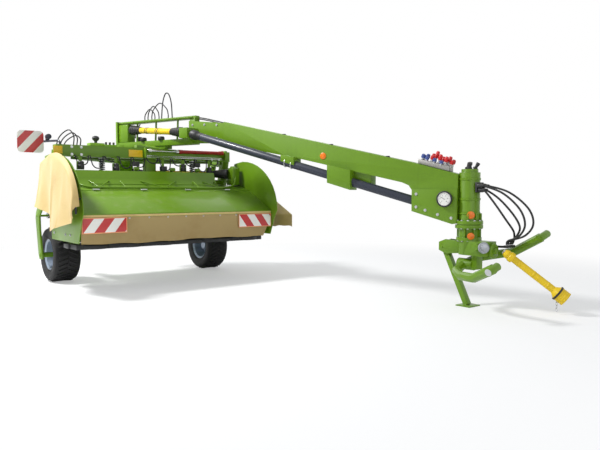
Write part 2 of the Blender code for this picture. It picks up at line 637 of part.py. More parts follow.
def beam_fittings():
    """Coupler block, hose ports and load gauge at the beam's front end, and the hose loop over the pivot."""
    pin = (0, PIVOT_Y, PIVOT_TOP)
    outline = [(5.50, 1.740), (5.90, 1.634), (5.90, 1.70), (5.50, 1.80)]
    part("coupler_block", "black_plastic", [plate(outline, 0.16, draw_profile())], pin=pin)
    part("hose_ports", "black_plastic", [block(head(0.150, -0.07, 1.38), head(0.1253, 0.07, 1.50))], pin=pin)
    face = draw(5.875, -HEAD_BOX_WIDTH / 2 - GAP, 1.300)
    profile = [(0.0, 0.05), (0.088, 0.05), (0.098, 0.04), (0.098, 0.012), (0.03, 0.0), (0.0, 0.0)]
    gauge = turned(profile, spin_frame(face, face - DRAW_SIDE), 24, closed=False)
    part("load_gauge", "black_plastic", [gauge], pin=pin)
    rear, front, foot, top, w = 0.94, 1.18, 2.602, 3.02, 0.01
    middle, half = (rear + front) / 2, (front - rear) / 2
    shoulder = foot + 0.6 * (top - foot)
    route = [draw(k, w, z) for k, z in (
        (rear, foot), (rear, foot + 0.04), (middle - 0.8 * half, shoulder),
        (middle - 0.4 * half, top - 0.035),
        (middle, top), (middle + 0.45 * half, top - 0.035), (middle + 0.85 * half, shoulder),
        (front, foot + 0.04),
        (front, foot))]
    part("hose_loop_tall", "rubber", [pipe(smooth_route(route, 24), 0.010, 2)])


def deck_drive():
    """Gearbox under the pivot, the guarded shaft to the deck's left end, and the gearbox there."""
    start, end = Vector((0.135, 0.54, 1.72)), Vector((1.345, -0.66, 1.695))
    length = (end - start).length
    profile = [(0.0, length), (0.085, length), (0.085, length - 0.05), (0.06, length - 0.22),
               (0.048, length - 0.23),
               (0.048, 0.22), (0.055, 0.21), (0.08, 0.05), (0.08, 0.0), (0.0, 0.0)]
    limits = [block((0, 0, 1.5), (0.12 + GAP, 1, 2)), block((1.36 - GAP, -1, 1.5), (1.6, 0, 2))]
    part("cross_drive_shaft", "black_plastic", [turned(profile, spin_frame(start, end), 20, closed=False)],
         limits)
    part("side_gearbox", "green_paint", [block((1.36, -0.80, 1.505), (1.50, -0.58, 1.80)),
                                         rod((1.43, -0.69, 1.78), (1.43, -0.69, 1.83), 0.05, 16)])


def warning_board():
    """Board that marks the machine's width, on a bent tube from the crossbeam's right end."""
    part("warning_board", "board", [block((-1.86, 0.112, 1.985), (-1.48, 0.118, 2.315))])
    top = PORTAL_Z + PORTAL_SIZE / 2 + GAP
    route = [(-1.40, PORTAL_Y, top), (-1.40, PORTAL_Y, top + 0.03), (-1.41, PORTAL_Y + 0.04, top + 0.06),
             (-1.44, 0.06, top + 0.08), (-1.46, 0.15, top + 0.08), (-1.54, 0.18, top + 0.08),
             (-1.76, 0.18, top + 0.08)]
    stay = block((-1.68, 0.1183, 2.04), (-1.64, 0.19, 2.28))
    lamp = [block((-1.465, 0.04, top + 0.07), (-1.415, 0.08, top + 0.16)),
            rod((-1.44, 0.05, top + 0.145), (-1.44, -0.02, top + 0.145), 0.04, 20)]
    part("board_bracket", "tube_paint", [pipe(route, 0.018, 3), stay] + lamp)


def swing_cylinder():
    base = Vector((*SWIVEL_BASE, SWIVEL_Z))
    eye = Vector((*SWIVEL_EYE, SWIVEL_Z))
    along = line_frame(base, eye)
    spin = spin_frame(base, eye)
    barrel = turned([(0.048, 0.92), (0.048, 0.03), (0.0, 0.03), (0.0, 0.09), (0.034, 0.09), (0.034, 0.92)],
                    spin, 20)
    lug = rod(base - Vector((0, 0, 0.045)), base + Vector((0, 0, 0.045)), 0.05, 16)
    bore = rod(base - Vector((0, 0, 0.05)), base + Vector((0, 0, 0.05)), 0.0195, 16)
    part("swing_barrel", "red_paint", [barrel, lug], [bore], pin=base)
    length = (eye - base).length
    shaft = rod(along @ Vector((0.14, 0, 0)), along @ Vector((length - 0.03, 0, 0)), 0.024)
    ring = rod(eye - Vector((0, 0, 0.02)), eye + Vector((0, 0, 0.02)), 0.05, 16)
    hole = rod(eye - Vector((0, 0, 0.05)), eye + Vector((0, 0, 0.05)), 0.022, 16)
    part("swing_rod", "zinc", [shaft, ring], [hole], pin=base)


# ---------------------------------------------------------------- hitch head
def hitch_head():
    pin = COLUMN
    lower = [rod(COLUMN + Vector((0, 0, 0.63)), COLUMN + Vector((0, 0, COLUMN_SPLIT)), 0.12, 24),
             rod(COLUMN + Vector((0, 0, 0.95)), COLUMN + Vector((0, 0, COLUMN_SPLIT)), 0.165, 24),
             rod(COLUMN + Vector((0, 0, 0.80)), COLUMN + Vector((0, 0, 0.84)), 0.15, 24),
             block(head(0.30, -0.12, 0.63), head(0.0, 0.12, 0.80)),
             rod(head(0.29, 0.04, 0.69), head(0.36, 0.04, 0.69), 0.035, 16),
             block(head(0.155, -0.06, 0.46), head(0.085, 0.06, 0.66)),
             rod(head(0.20, -0.11, 0.745), head(0.20, -0.17, 0.745), 0.05, 24)]
    part("head_gearbox", "green_paint", lower, pin=pin)
    ears = []
    for w in (-0.055, 0.055):
        ears.append(plate([(COLUMN.y + 0.10, 0.79), (COLUMN.y + 0.10, 0.64), (COLUMN.y + 0.30, 0.62),
                           (COLUMN.y + 0.40, 0.66), (COLUMN.y + 0.40, 0.76), (COLUMN.y + 0.30, 0.80)],
                          0.012, side_frame(COLUMN.x + w)))
    ears.append(rod(STAND_PIN - Vector((0.07, 0, 0)), STAND_PIN + Vector((0.07, 0, 0)), 0.014, 12))
    ears.append(block((COLUMN.x - 0.06, COLUMN.y + 0.121, 0.68), (COLUMN.x + 0.06, COLUMN.y + 0.15, 0.79)))
    keep_off = rod(COLUMN + Vector((0, 0, 0.5)), COLUMN + Vector((0, 0, 1.2)), 0.12 + GAP, 24)
    part("stand_bracket", "green_paint", ears, [keep_off], pin=pin)

    roll_pin = head(0, 0, ROLL_Z)
    tilt = Matrix.Translation(roll_pin) @ Matrix.Rotation(ROLL, 4,
                                                          Vector((0, -1,
                                                                  0))) @ Matrix.Translation(-roll_pin)
    bow = [head(0.70, -0.50, 0.72), head(0.36, -0.42, 0.54), head(0.12, -0.34, 0.51),
           head(-0.02, -0.22, 0.51),
           head(-0.06, 0.0, 0.51), head(-0.02, 0.22, 0.51), head(0.12, 0.34, 0.51), head(0.36, 0.42, 0.54),
           head(0.70, 0.50, 0.72)]
    tube = pipe(bow, 0.055, 2)
    tips = [rod(head(0.71, side * 0.44, 0.725), head(0.71, side * 0.62, 0.725), 0.045, 16) for side in (1,
                                                                                                        -1)]
    pieces = [tube] + tips
    for piece in pieces:
        piece.data.transform(tilt)
    hub = rod(head(-0.13, 0, ROLL_Z), head(0.08, 0, ROLL_Z), 0.07, 18)
    part("hitch_yoke", "green_paint", pieces + [hub], pin=roll_pin)
    leg_top = STAND_PIN + (STAND_PIN - STAND_FOOT).normalized() * 0.03
    leg = [beam(leg_top, STAND_FOOT + Vector((0, 0.005, 0.012)), 0.07, 0.07, up=(1, 0, 0)),
           block(STAND_FOOT + Vector((-0.11, -0.10, 0.0)), STAND_FOOT + Vector((0.11, 0.10, 0.014)))]
    bore = rod(STAND_PIN - Vector((0.08, 0, 0)), STAND_PIN + Vector((0.08, 0, 0)), 0.0155, 12)
    floor_trim = block(STAND_FOOT + Vector((-0.3, -0.3, -0.2)), STAND_FOOT + Vector((0.3, 0.3, 0.0)))
    part("stand_leg", "green_paint", leg, [bore, floor_trim], pin=STAND_PIN)


def pto():
    profile = [(0.0, 0.79), (0.072, 0.79), (0.076, 0.86), (0.085, 0.86), (0.083, 0.75), (0.047, 0.70),
               (0.043, 0.685),
               (0.043, 0.15), (0.060, 0.14), (0.060, 0.09), (0.042, 0.02), (0.0, 0.02)]
    pieces = [turned(profile, spin_frame(PTO_TOP, PTO_TOP + PTO_DIR), 20, closed=False)]
    part("pto_shaft", "yellow_plastic", pieces, pin=PTO_TOP)


def hoses():
    # each leaves its port level, swings out in front of the column and comes down onto the clamp:
    # name, port's offset and height, the bend's points, offset of its slot in the clamp
    routes = (
        ("hose_1", 0.05, 1.46, ((0.46, 0.12, 1.38), (0.66, 0.19, 1.20), (0.71, 0.22, 1.02),
                                (0.60, 0.24, 0.88)),
         0.22),
        ("hose_2", -0.05, 1.46, ((0.44, 0.02, 1.37), (0.62, 0.08, 1.19), (0.66, 0.13, 1.01),
                                 (0.56, 0.17, 0.87)),
         0.18),
        ("hose_3", 0.02, 1.41, ((0.38, 0.05, 1.30), (0.52, 0.12, 1.12), (0.56, 0.19, 0.98),
                                (0.50, 0.24, 0.88)),
         0.26),
        ("hose_4", -0.03, 1.41, ((0.34, 0.00, 1.26), (0.45, 0.08, 1.06), (0.48, 0.18, 0.94),
                                 (0.45, 0.26, 0.87)),
         0.30),
    )
    for name, port, level, bend, slot in routes:
        route = [head(0.155, port, level), head(0.22, port, level - 0.002)] + [head(*place) for place in bend]
        route += [head(0.42, slot, 0.81), head(0.40, slot, 0.763)]
        part(name, "rubber", [pipe(smooth_route(route, 26), HOSE_RADIUS, 2)], pin=(0, PIVOT_Y, PIVOT_TOP))
    clamp = [block(head(0.425, 0.155, 0.725), head(0.375, 0.325, 0.755)),
             beam(head(0.20, 0.135, 0.735), head(0.40, 0.20, 0.735), 0.03, 0.025)]
    keep_off = block(head(0.31, -0.2, 0.6), head(-0.1, 0.12 + GAP, 0.9))
    part("hose_clamp", "black_plastic", clamp, [keep_off], pin=COLUMN)


wheels()
carrier()
deck()
cutterbar()
rotor()
guards()
swath_doors()
deck_drive()
warning_board()
drawbar()
beam_fittings()
swing_cylinder()
hitch_head()
pto()
hoses()
bpy.context.view_layer.update()
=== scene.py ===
"""Looks of a trailed disc mower conditioner, parked on its wheels and its drawbar stand."""
import json
import math

import bmesh
import bpy
from mathutils import Matrix, Vector


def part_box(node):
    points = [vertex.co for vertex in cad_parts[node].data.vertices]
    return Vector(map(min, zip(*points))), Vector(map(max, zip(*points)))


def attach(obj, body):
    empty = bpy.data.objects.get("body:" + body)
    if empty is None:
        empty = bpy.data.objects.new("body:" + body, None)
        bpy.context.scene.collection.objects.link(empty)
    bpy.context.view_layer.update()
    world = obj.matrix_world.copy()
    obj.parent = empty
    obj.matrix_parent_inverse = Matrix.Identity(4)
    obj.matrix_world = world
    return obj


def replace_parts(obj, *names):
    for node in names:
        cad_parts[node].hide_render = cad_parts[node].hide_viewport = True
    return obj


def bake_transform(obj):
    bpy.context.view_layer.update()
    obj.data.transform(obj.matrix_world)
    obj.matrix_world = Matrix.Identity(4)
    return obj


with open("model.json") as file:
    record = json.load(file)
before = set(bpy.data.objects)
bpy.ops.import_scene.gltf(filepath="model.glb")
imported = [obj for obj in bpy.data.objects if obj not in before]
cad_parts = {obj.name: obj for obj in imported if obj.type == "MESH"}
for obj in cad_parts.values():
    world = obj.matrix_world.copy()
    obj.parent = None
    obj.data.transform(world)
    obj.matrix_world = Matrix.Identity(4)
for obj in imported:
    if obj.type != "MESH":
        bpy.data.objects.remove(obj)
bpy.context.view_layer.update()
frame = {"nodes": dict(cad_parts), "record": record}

# ---------------------------------------------------------------- where the machine stands
# Every place below is given from the axle's midpoint on the ground, X to the machine's left, Y rearward,
# or along the drawbar from its pin. Both come from the frame's own joints.
record = frame["record"]
pins = {joint["name"]: Vector(joint["pos_m"]) for joint in record["behaviour"]["joints"] if "pos_m" in joint}
body_of = {node: body for body, nodes in record["behaviour"]["bodies"].items() for node in nodes}
slot_of = {part["node"]: part["material_slot"] for part in record["subparts"]}
axle = (pins["wheel_spin_left"] + pins["wheel_spin_right"]) / 2
axle.z = 0.0
column = pins["head_swivel"].copy()
column.z = 0.0
pivot = Vector((pins["drawbar_swing"].x, pins["drawbar_swing"].y, 0.0))
draw_along = (column - pivot).normalized()
draw_left = Vector((0.0, 0.0, 1.0)).cross(draw_along)


def at(x, y, z):
    """A place on the carrier or the deck."""
    return axle + Vector((x, y, z))


def draw(k, w, z):
    """A place on the drawbar: k along it, w to its left, z above the ground."""
    return pivot + draw_along * k + draw_left * w + Vector((0.0, 0.0, z))


def head(f, w, z):
    """A place on the hitch head: f ahead of the column, w to its left, z above the ground."""
    return column + Vector((w, -f, z))


# ---------------------------------------------------------------- camera, floor and light
# Standing height, ahead of the machine's right front corner, level with the hood.
camera_data = bpy.data.cameras.new("camera")
camera_data.sensor_width = 36.0
camera_data.lens = 35.81
camera = bpy.data.objects.new("camera", camera_data)
camera.location = at(-4.211, -9.534, 1.385)
camera.rotation_euler = (math.radians(90.0 - 3.162), 0.0, math.radians(-38.92))
bpy.context.scene.collection.objects.link(camera)
bpy.context.scene.camera = camera
bpy.context.scene.view_settings.view_transform = "Standard"

world = bpy.data.worlds.new("studio")
bpy.context.scene.world = world
world.use_nodes = True
sky = world.node_tree
sky.nodes.clear()
seen = sky.nodes.new("ShaderNodeLightPath")
either = sky.nodes.new("ShaderNodeMath")
either.operation = "MAXIMUM"
any_ray = sky.nodes.new("ShaderNodeMath")
any_ray.operation = "MAXIMUM"
sky.links.new(seen.outputs["Is Camera Ray"], either.inputs[0])
sky.links.new(seen.outputs["Is Transmission Ray"], either.inputs[1])
sky.links.new(either.outputs[0], any_ray.inputs[0])
sky.links.new(seen.outputs["Is Glossy Ray"], any_ray.inputs[1])
ambient, backdrop = sky.nodes.new("ShaderNodeBackground"), sky.nodes.new("ShaderNodeBackground")
ambient.inputs["Color"].default_value = (0.93, 0.96, 1.0, 1.0)
ambient.inputs["Strength"].default_value = 0.50
backdrop.inputs["Color"].default_value = (1.0, 1.0, 1.0, 1.0)
backdrop.inputs["Strength"].default_value = 1.0
pick = sky.nodes.new("ShaderNodeMixShader")
sky.links.new(any_ray.outputs[0], pick.inputs[0])
sky.links.new(ambient.outputs[0], pick.inputs[1])
sky.links.new(backdrop.outputs[0], pick.inputs[2])
sky.links.new(pick.outputs[0], sky.nodes.new("ShaderNodeOutputWorld").inputs[0])

bpy.ops.mesh.primitive_plane_add(size=90.0, location=(0.0, 0.0, 0.0))
floor = bpy.context.object
floor.name = "floor"
floor_finish = bpy.data.materials.new("pale_floor")
floor_finish.use_nodes = True
pale = floor_finish.node_tree
pale_shader = pale.nodes["Principled BSDF"]
pale_shader.inputs["Base Color"].default_value = (0.95, 0.95, 0.95, 1.0)
pale_shader.inputs["Roughness"].default_value = 0.9
# the lit floor fades into the white backdrop some way behind the machine
where, reach, fade, seen_floor, share = (pale.nodes.new(kind) for kind in (
    "ShaderNodeTexCoord", "ShaderNodeVectorMath", "ShaderNodeMapRange", "ShaderNodeLightPath",
    "ShaderNodeMath"))
reach.operation = "LENGTH"
fade.interpolation_type = "SMOOTHSTEP"
fade.inputs["From Min"].default_value, fade.inputs["From Max"].default_value = 4.5, 9.0
fade.inputs["To Min"].default_value = 0.35
share.operation = "MULTIPLY"
glow, blend = pale.nodes.new("ShaderNodeEmission"), pale.nodes.new("ShaderNodeMixShader")
for start, end in ((where.outputs["Object"], reach.inputs[0]), (reach.outputs["Value"], fade.inputs["Value"]),
                   (fade.outputs[0], share.inputs[0]), (seen_floor.outputs["Is Camera Ray"], share.inputs[1]),
                   (share.outputs[0], blend.inputs[0]), (pale_shader.outputs[0], blend.inputs[1]),
                   (glow.outputs[0], blend.inputs[2]),
                   (blend.outputs[0], pale.nodes["Material Output"].inputs[0])):
    pale.links.new(start, end)
floor.data.materials.append(floor_finish)

for name, place, size, power, aim in (
        ("key", at(-4.9, 1.35, 8.2), 1.6, 1050.0, at(0.3, -1.5, 0.8)),
        ("front_fill", at(-1.0, -12.0, 4.0), 6.0, 110.0, at(0.8, -2.5, 1.0)),
        ("rear_fill", at(6.0, 6.0, 6.0), 6.0, 120.0, at(0.0, -1.0, 1.0))):
    lamp_data = bpy.data.lights.new(name, "AREA")
    lamp_data.size = size
    lamp_data.energy = power
    lamp = bpy.data.objects.new(name, lamp_data)
    lamp.location = place
    lamp.rotation_euler = (aim - place).to_track_quat("-Z", "Y").to_euler()
    bpy.context.scene.collection.objects.link(lamp)


# ---------------------------------------------------------------- green paint
# Two-pack enamel on the welded steel: glossy where clean, dusted on top faces, slightly uneven in tone.
def feed(tree, target, value):
    """Links a value to a socket, or sets the socket to a number or colour."""
    if isinstance(value, Value):
        tree.links.new(value.socket, target)
    elif isinstance(value, (tuple, list)) and len(value) == 3 and target.type == "RGBA":
        target.default_value = (*value, 1.0)
    else:
        target.default_value = value


class Value:
    """A socket in a material's tree. Python's own operators on it add Math nodes."""

    def __init__(self, tree, socket):
        self.tree, self.socket = tree, socket

    def maths(self, operation, *values):
        node = self.tree.nodes.new("ShaderNodeMath")
        node.operation = operation
        for target, value in zip(node.inputs, values):
            feed(self.tree, target, value)
        return Value(self.tree, node.outputs[0])

    def __add__(self, other):
        return self.maths("ADD", self, other)

    __radd__ = __add__

    def __sub__(self, other):
        return self.maths("SUBTRACT", self, other)

    def __rsub__(self, other):
        return self.maths("SUBTRACT", other, self)

    def __mul__(self, other):
        return self.maths("MULTIPLY", self, other)

    __rmul__ = __mul__

    def __truediv__(self, other):
        return self.maths("DIVIDE", self, other)

    def sine(self):
        return self.maths("SINE", self)

    def part(self):
        """What is left after the whole number."""
        return self.maths("FRACT", self)

    def above(self, limit):
        return self.maths("GREATER_THAN", self, limit)

    def size(self):
        return self.maths("ABSOLUTE", self)


class Finish:
    """One material. Its nodes are added by node(), and set() feeds the shader's sockets."""

    def __init__(self, name, sockets):
        self.material = bpy.data.materials.new(name)
        self.material.use_nodes = True
        self.tree = self.material.node_tree
        self.shader = self.tree.nodes["Principled BSDF"]
        for key, value in sockets.items():
            feed(self.tree, self.shader.inputs[key], value)
        self.place = self.node("ShaderNodeTexCoord", out="Object")

    def node(self, kind, settings=None, inputs=None, out=0):
        made = self.tree.nodes.new(kind)
        for key, value in (settings or {}).items():
            setattr(made, key, value)
        for key, value in (inputs or {}).items():
            feed(self.tree, made.inputs[key], value)
        return Value(self.tree, made.outputs[out])

    def set(self, key, value):
        feed(self.tree, self.shader.inputs[key], value)

    def stretched(self, scale):
        return self.node("ShaderNodeMapping", inputs={"Vector": self.place, "Scale": scale})

    def noise(self, scale, detail=3.0, vector=None):
        return self.node("ShaderNodeTexNoise", inputs={"Vector": vector or self.place, "Scale": scale,
                                                       "Detail": detail, "Roughness": 0.6})

    def ramp(self, value, low, high):
        """0 below low, 1 above high, eased between."""
        return self.node("ShaderNodeMapRange", {"interpolation_type": "SMOOTHSTEP"},
                         {"Value": value, "From Min": low, "From Max": high})

    def mix(self, share, first, second):
        return self.node("ShaderNodeMix", {"data_type": "RGBA"}, {0: share, 6: first, 7: second}, 2)

    def axis(self, letter, vector=None):
        return self.node("ShaderNodeSeparateXYZ", inputs={0: vector or self.place}, out=letter)

    def facing_up(self):
        return self.axis("Z", self.node("ShaderNodeNewGeometry", out="Normal"))

    def bump(self, height, strength, distance):
        self.set("Normal", self.node("ShaderNodeBump", inputs={"Height": height, "Strength": strength,
                                                              "Distance": distance}))


DUST = (0.42, 0.38, 0.27)


def paint(name, colour, rough=0.33, dust=0.16, metallic=0.0):
    """Enamel of one colour with cloudy tone, fine texture and dust on what faces up."""
    finish = Finish(name, {"Coat Weight": 0.16, "Coat Roughness": 0.12, "Specular IOR Level": 0.32,
                           "Metallic": metallic})
    grime = finish.noise(9.0, 6.0)
    settled = finish.ramp(finish.facing_up(), 0.55, 0.98) * finish.ramp(grime, 0.46, 0.74) * dust
    streak = finish.ramp(finish.noise(6.0, 4.0, finish.stretched((5.0, 5.0, 0.6))), 0.52, 0.80) * 0.22
    deep = tuple(value * 0.62 for value in colour)
    tone = finish.mix(finish.noise(1.6, 2.0) * 0.45, colour, deep)
    tone = finish.mix(streak, tone, tuple(value * 0.45 for value in colour))
    finish.set("Base Color", finish.mix(settled, tone, DUST))
    finish.set("Roughness", grime * 0.14 + settled * 0.9 + rough)
    finish.bump(finish.noise(260.0, 2.0), 0.10, 0.0006)
    return finish.material


GREEN = (0.135, 0.272, 0.006)
finishes = {"green_paint": paint("farm_green", GREEN),
            "dark_tube": paint("dark_tube", (0.030, 0.036, 0.055), 0.32, 0.2),
            "red_paint": paint("red_paint", (0.36, 0.012, 0.008), 0.3, 0.15),
            "bar_steel": paint("bar_black", (0.016, 0.017, 0.018), 0.42, 0.25)}
leaf_green = paint("light_green", (0.24, 0.47, 0.012), 0.36, 0.12)


# ---------------------------------------------------------------- bare metals, plastics and rubber
# Zinc-plated and chromed steel, worn blade steel, moulded plastics, tyre and hose rubber.
def metal(name, colour, rough, brushed=0.5):
    finish = Finish(name, {"Metallic": 1.0})
    cloud = finish.noise(22.0, 5.0)
    finish.set("Base Color", finish.mix(cloud * 0.5, colour, tuple(value * 0.55 for value in colour)))
    finish.set("Roughness", cloud * 0.22 + rough)
    finish.bump(finish.noise(90.0, 3.0, finish.stretched((1.0, 1.0, 9.0))), 0.15 * brushed, 0.0005)
    return finish.material


def moulded(name, colour, rough, grain=420.0, faded=0.25):
    finish = Finish(name, {"Specular IOR Level": 0.45})
    cloud = finish.noise(7.0, 5.0)
    dust = finish.ramp(finish.facing_up(), 0.2, 1.0) * finish.ramp(cloud, 0.45, 0.75) * faded
    tone = finish.mix(cloud * 0.4, colour, tuple(value * 0.6 for value in colour))
    finish.set("Base Color", finish.mix(dust, tone, DUST))
    finish.set("Roughness", cloud * 0.2 + rough)
    finish.bump(finish.noise(grain, 2.0), 0.25, 0.0006)
    return finish.material


finishes.update({
    "zinc": metal("zinc_plate", (0.62, 0.63, 0.64), 0.26),
    "rod_chrome": metal("hard_chrome", (0.78, 0.78, 0.80), 0.08, 0.1),
    "blade_steel": metal("worn_steel", (0.38, 0.37, 0.35), 0.34),
    "rim": paint("wheel_silver", (0.30, 0.36, 0.45), 0.28, 0.2, 0.35),
    "black_plastic": moulded("black_plastic", (0.016, 0.016, 0.018), 0.40), "yellow_plastic": moulded(
        "guard_yellow", (0.84, 0.58, 0.006), 0.34, 300.0, 0.1),
    "tyre": moulded("tyre_rubber", (0.0095, 0.0095, 0.010), 0.62, 180.0, 0.12),
    "hose_rubber": moulded("hose_rubber", (0.014, 0.014, 0.015), 0.42, 900.0, 0.05)})
red_cap = moulded("red_cap", (0.62, 0.012, 0.014), 0.3)
blue_cap = moulded("blue_cap", (0.05, 0.09, 0.32), 0.3)
orange_lens = moulded("orange_reflector", (0.90, 0.20, 0.008), 0.16, 1400.0, 0.0)
yellow_lens = moulded("yellow_reflector", (0.90, 0.56, 0.01), 0.18, 1400.0, 0.0)
white_face = moulded("white_face", (0.82, 0.82, 0.78), 0.35, 500.0, 0.05)


# ---------------------------------------------------------------- plain steel nodes, with their edges rounded
# Frames, plates and castings keep the shape they have; each gets rolled or ground edges of its own size.
def settle(piece):
    """The piece's modifiers worked into its mesh."""
    graph = bpy.context.evaluated_depsgraph_get()
    mesh = bpy.data.meshes.new_from_object(piece.evaluated_get(graph))
    piece.modifiers.clear()
    piece.data = mesh
    return piece


def shade(piece, angle):
    piece.data.shade_smooth()
    piece.data.set_sharp_from_angle(angle=math.radians(angle))


def refine(node, width, finish=None):
    work = bmesh.new()
    work.from_mesh(frame["nodes"][node].data)
    bmesh.ops.remove_doubles(work, verts=work.verts, dist=1e-5)
    bmesh.ops.dissolve_limit(work, angle_limit=math.radians(0.8), verts=work.verts, edges=work.edges)
    mesh = bpy.data.meshes.new(node + "_shell")
    work.to_mesh(mesh)
    work.free()
    piece = bpy.data.objects.new(node + "_shell", mesh)
    bpy.context.scene.collection.objects.link(piece)
    bevel = piece.modifiers.new("edges", "BEVEL")
    bevel.width = width
    bevel.segments = 2
    bevel.limit_method = "ANGLE"
    bevel.angle_limit = math.radians(34)
    settle(piece)
    piece.data.materials.clear()
    piece.data.materials.append(finish or finishes[slot_of[node]])
    shade(piece, 38)
    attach(piece, body_of[node])
    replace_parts(piece, node)
    return piece


EDGES = {"portal_frame": 0.010, "pivot_frame": 0.008, "mower_cross_tube": 0.008, "drawbar_beam": 0.012,
         "swivel_column_upper": 0.005, "pivot_gearbox": 0.016, "side_gearbox": 0.018, "head_gearbox": 0.006,
         "stand_bracket": 0.003, "stand_leg": 0.004, "hitch_yoke": 0.003, "cutterbar": 0.006,
         "rotor_housing": 0.002,
         "side_plate_left": 0.003, "side_plate_right": 0.003, "swath_door_left": 0.002,
         "swath_door_right": 0.002,
         "wheel_arm_left": 0.005, "wheel_arm_right": 0.005, "lift_barrel_left": 0.002,
         "lift_barrel_right": 0.002,
         "lift_rod_left": 0.002, "lift_rod_right": 0.002, "swing_barrel": 0.002, "swing_rod": 0.002,
         "hose_ports": 0.004, "hose_clamp": 0.003, "coupler_block": 0.005, "board_bracket": 0.002,
         "guard_rail_right": 0.002, "mower_hood": 0.002, "front_guard": 0.002, "drive_tube": 0.002}
for node, width in EDGES.items():
    refine(node, width, finishes["blade_steel"] if node == "coupler_block" else None)


# ---------------------------------------------------------------- bolts
# Zinc hex bolts with washers hold the flanges, covers and brackets.
class Work:
    """Solids of one finish on one body, gathered into one mesh."""

    def __init__(self):
        self.mesh = bmesh.new()

    def take(self, solid, place=None):
        if place is not None:
            solid.transform(place)
        bmesh.ops.recalc_face_normals(solid, faces=solid.faces)
        if solid.calc_volume(signed=True) < 0:
            bmesh.ops.reverse_faces(solid, faces=solid.faces)
        loose = bpy.data.meshes.new("loose")
        solid.to_mesh(loose)
        solid.free()
        self.mesh.from_mesh(loose)
        bpy.data.meshes.remove(loose)

    def box(self, low, high, place=None, edge=0.003):
        low, high = Vector(low), Vector(high)
        solid = bmesh.new()
        bmesh.ops.create_cube(solid, size=1.0)
        solid.transform(Matrix.Translation((low + high) / 2) @ Matrix.Diagonal((*(high - low), 1.0)))
        if edge:
            bmesh.ops.bevel(solid, geom=solid.edges[:], offset=edge, segments=2, profile=0.5, affect="EDGES")
        self.take(solid, place)

    def lathe(self, profile, start, end, steps=40):
        """(radius, distance) pairs spun about the line from start to end; ends on the line close it."""
        solid = bmesh.new()
        loop = [solid.verts.new((radius, 0.0, height)) for radius, height in profile]
        edges = [solid.edges.new(pair) for pair in zip(loop, loop[1:])]
        if profile[0][0] > 0.0 or profile[-1][0] > 0.0:
            edges.append(solid.edges.new((loop[-1], loop[0])))
        bmesh.ops.spin(solid, geom=loop + edges, cent=(0, 0, 0), axis=(0, 0, 1), angle=math.tau, steps=steps)
        bmesh.ops.remove_doubles(solid, verts=solid.verts, dist=1e-6)
        turn = (Vector(end) - Vector(start)).to_track_quat("Z", "Y").to_matrix().to_4x4()
        self.take(solid, Matrix.Translation(Vector(start)) @ turn)

    def rod(self, start, end, radius, edge=0.002, steps=28):
        length = (Vector(end) - Vector(start)).length
        self.lathe([(0.0, 0.0), (radius - edge, 0.0), (radius, edge), (radius, length - edge),
                    (radius - edge, length),
                    (0.0, length)], start, end, steps)

    def tube(self, points, radius, sides=10):
        """A round tube with closed ends along a route."""
        points = [Vector(point) for point in points]
        solid = bmesh.new()
        side = None
        rings = []
        for index, point in enumerate(points):
            run = (points[min(index + 1, len(points) - 1)] - points[max(index - 1, 0)]).normalized()
            if side is None:
                side = run.orthogonal().normalized()
            side = (side - run * side.dot(run)).normalized()
            rise = run.cross(side)
            rings.append([solid.verts.new(point + (side * math.cos(turn) + rise * math.sin(turn)) * radius)
                          for turn in (math.tau * step / sides for step in range(sides))])
        for first, second in zip(rings, rings[1:]):
            for step in range(sides):
                after = (step + 1) % sides
                solid.faces.new((first[step], first[after], second[after], second[step]))
        solid.faces.new(rings[0])
        solid.faces.new(rings[-1])
        self.take(solid)

    def done(self, name, body, finish, slot, angle=36):
        mesh = bpy.data.meshes.new(name)
        self.mesh.to_mesh(mesh)
        self.mesh.free()
        piece = bpy.data.objects.new(name, mesh)
        bpy.context.scene.collection.objects.link(piece)
        mesh.materials.append(finish)
        shade(piece, angle)
        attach(piece, body)
        return piece


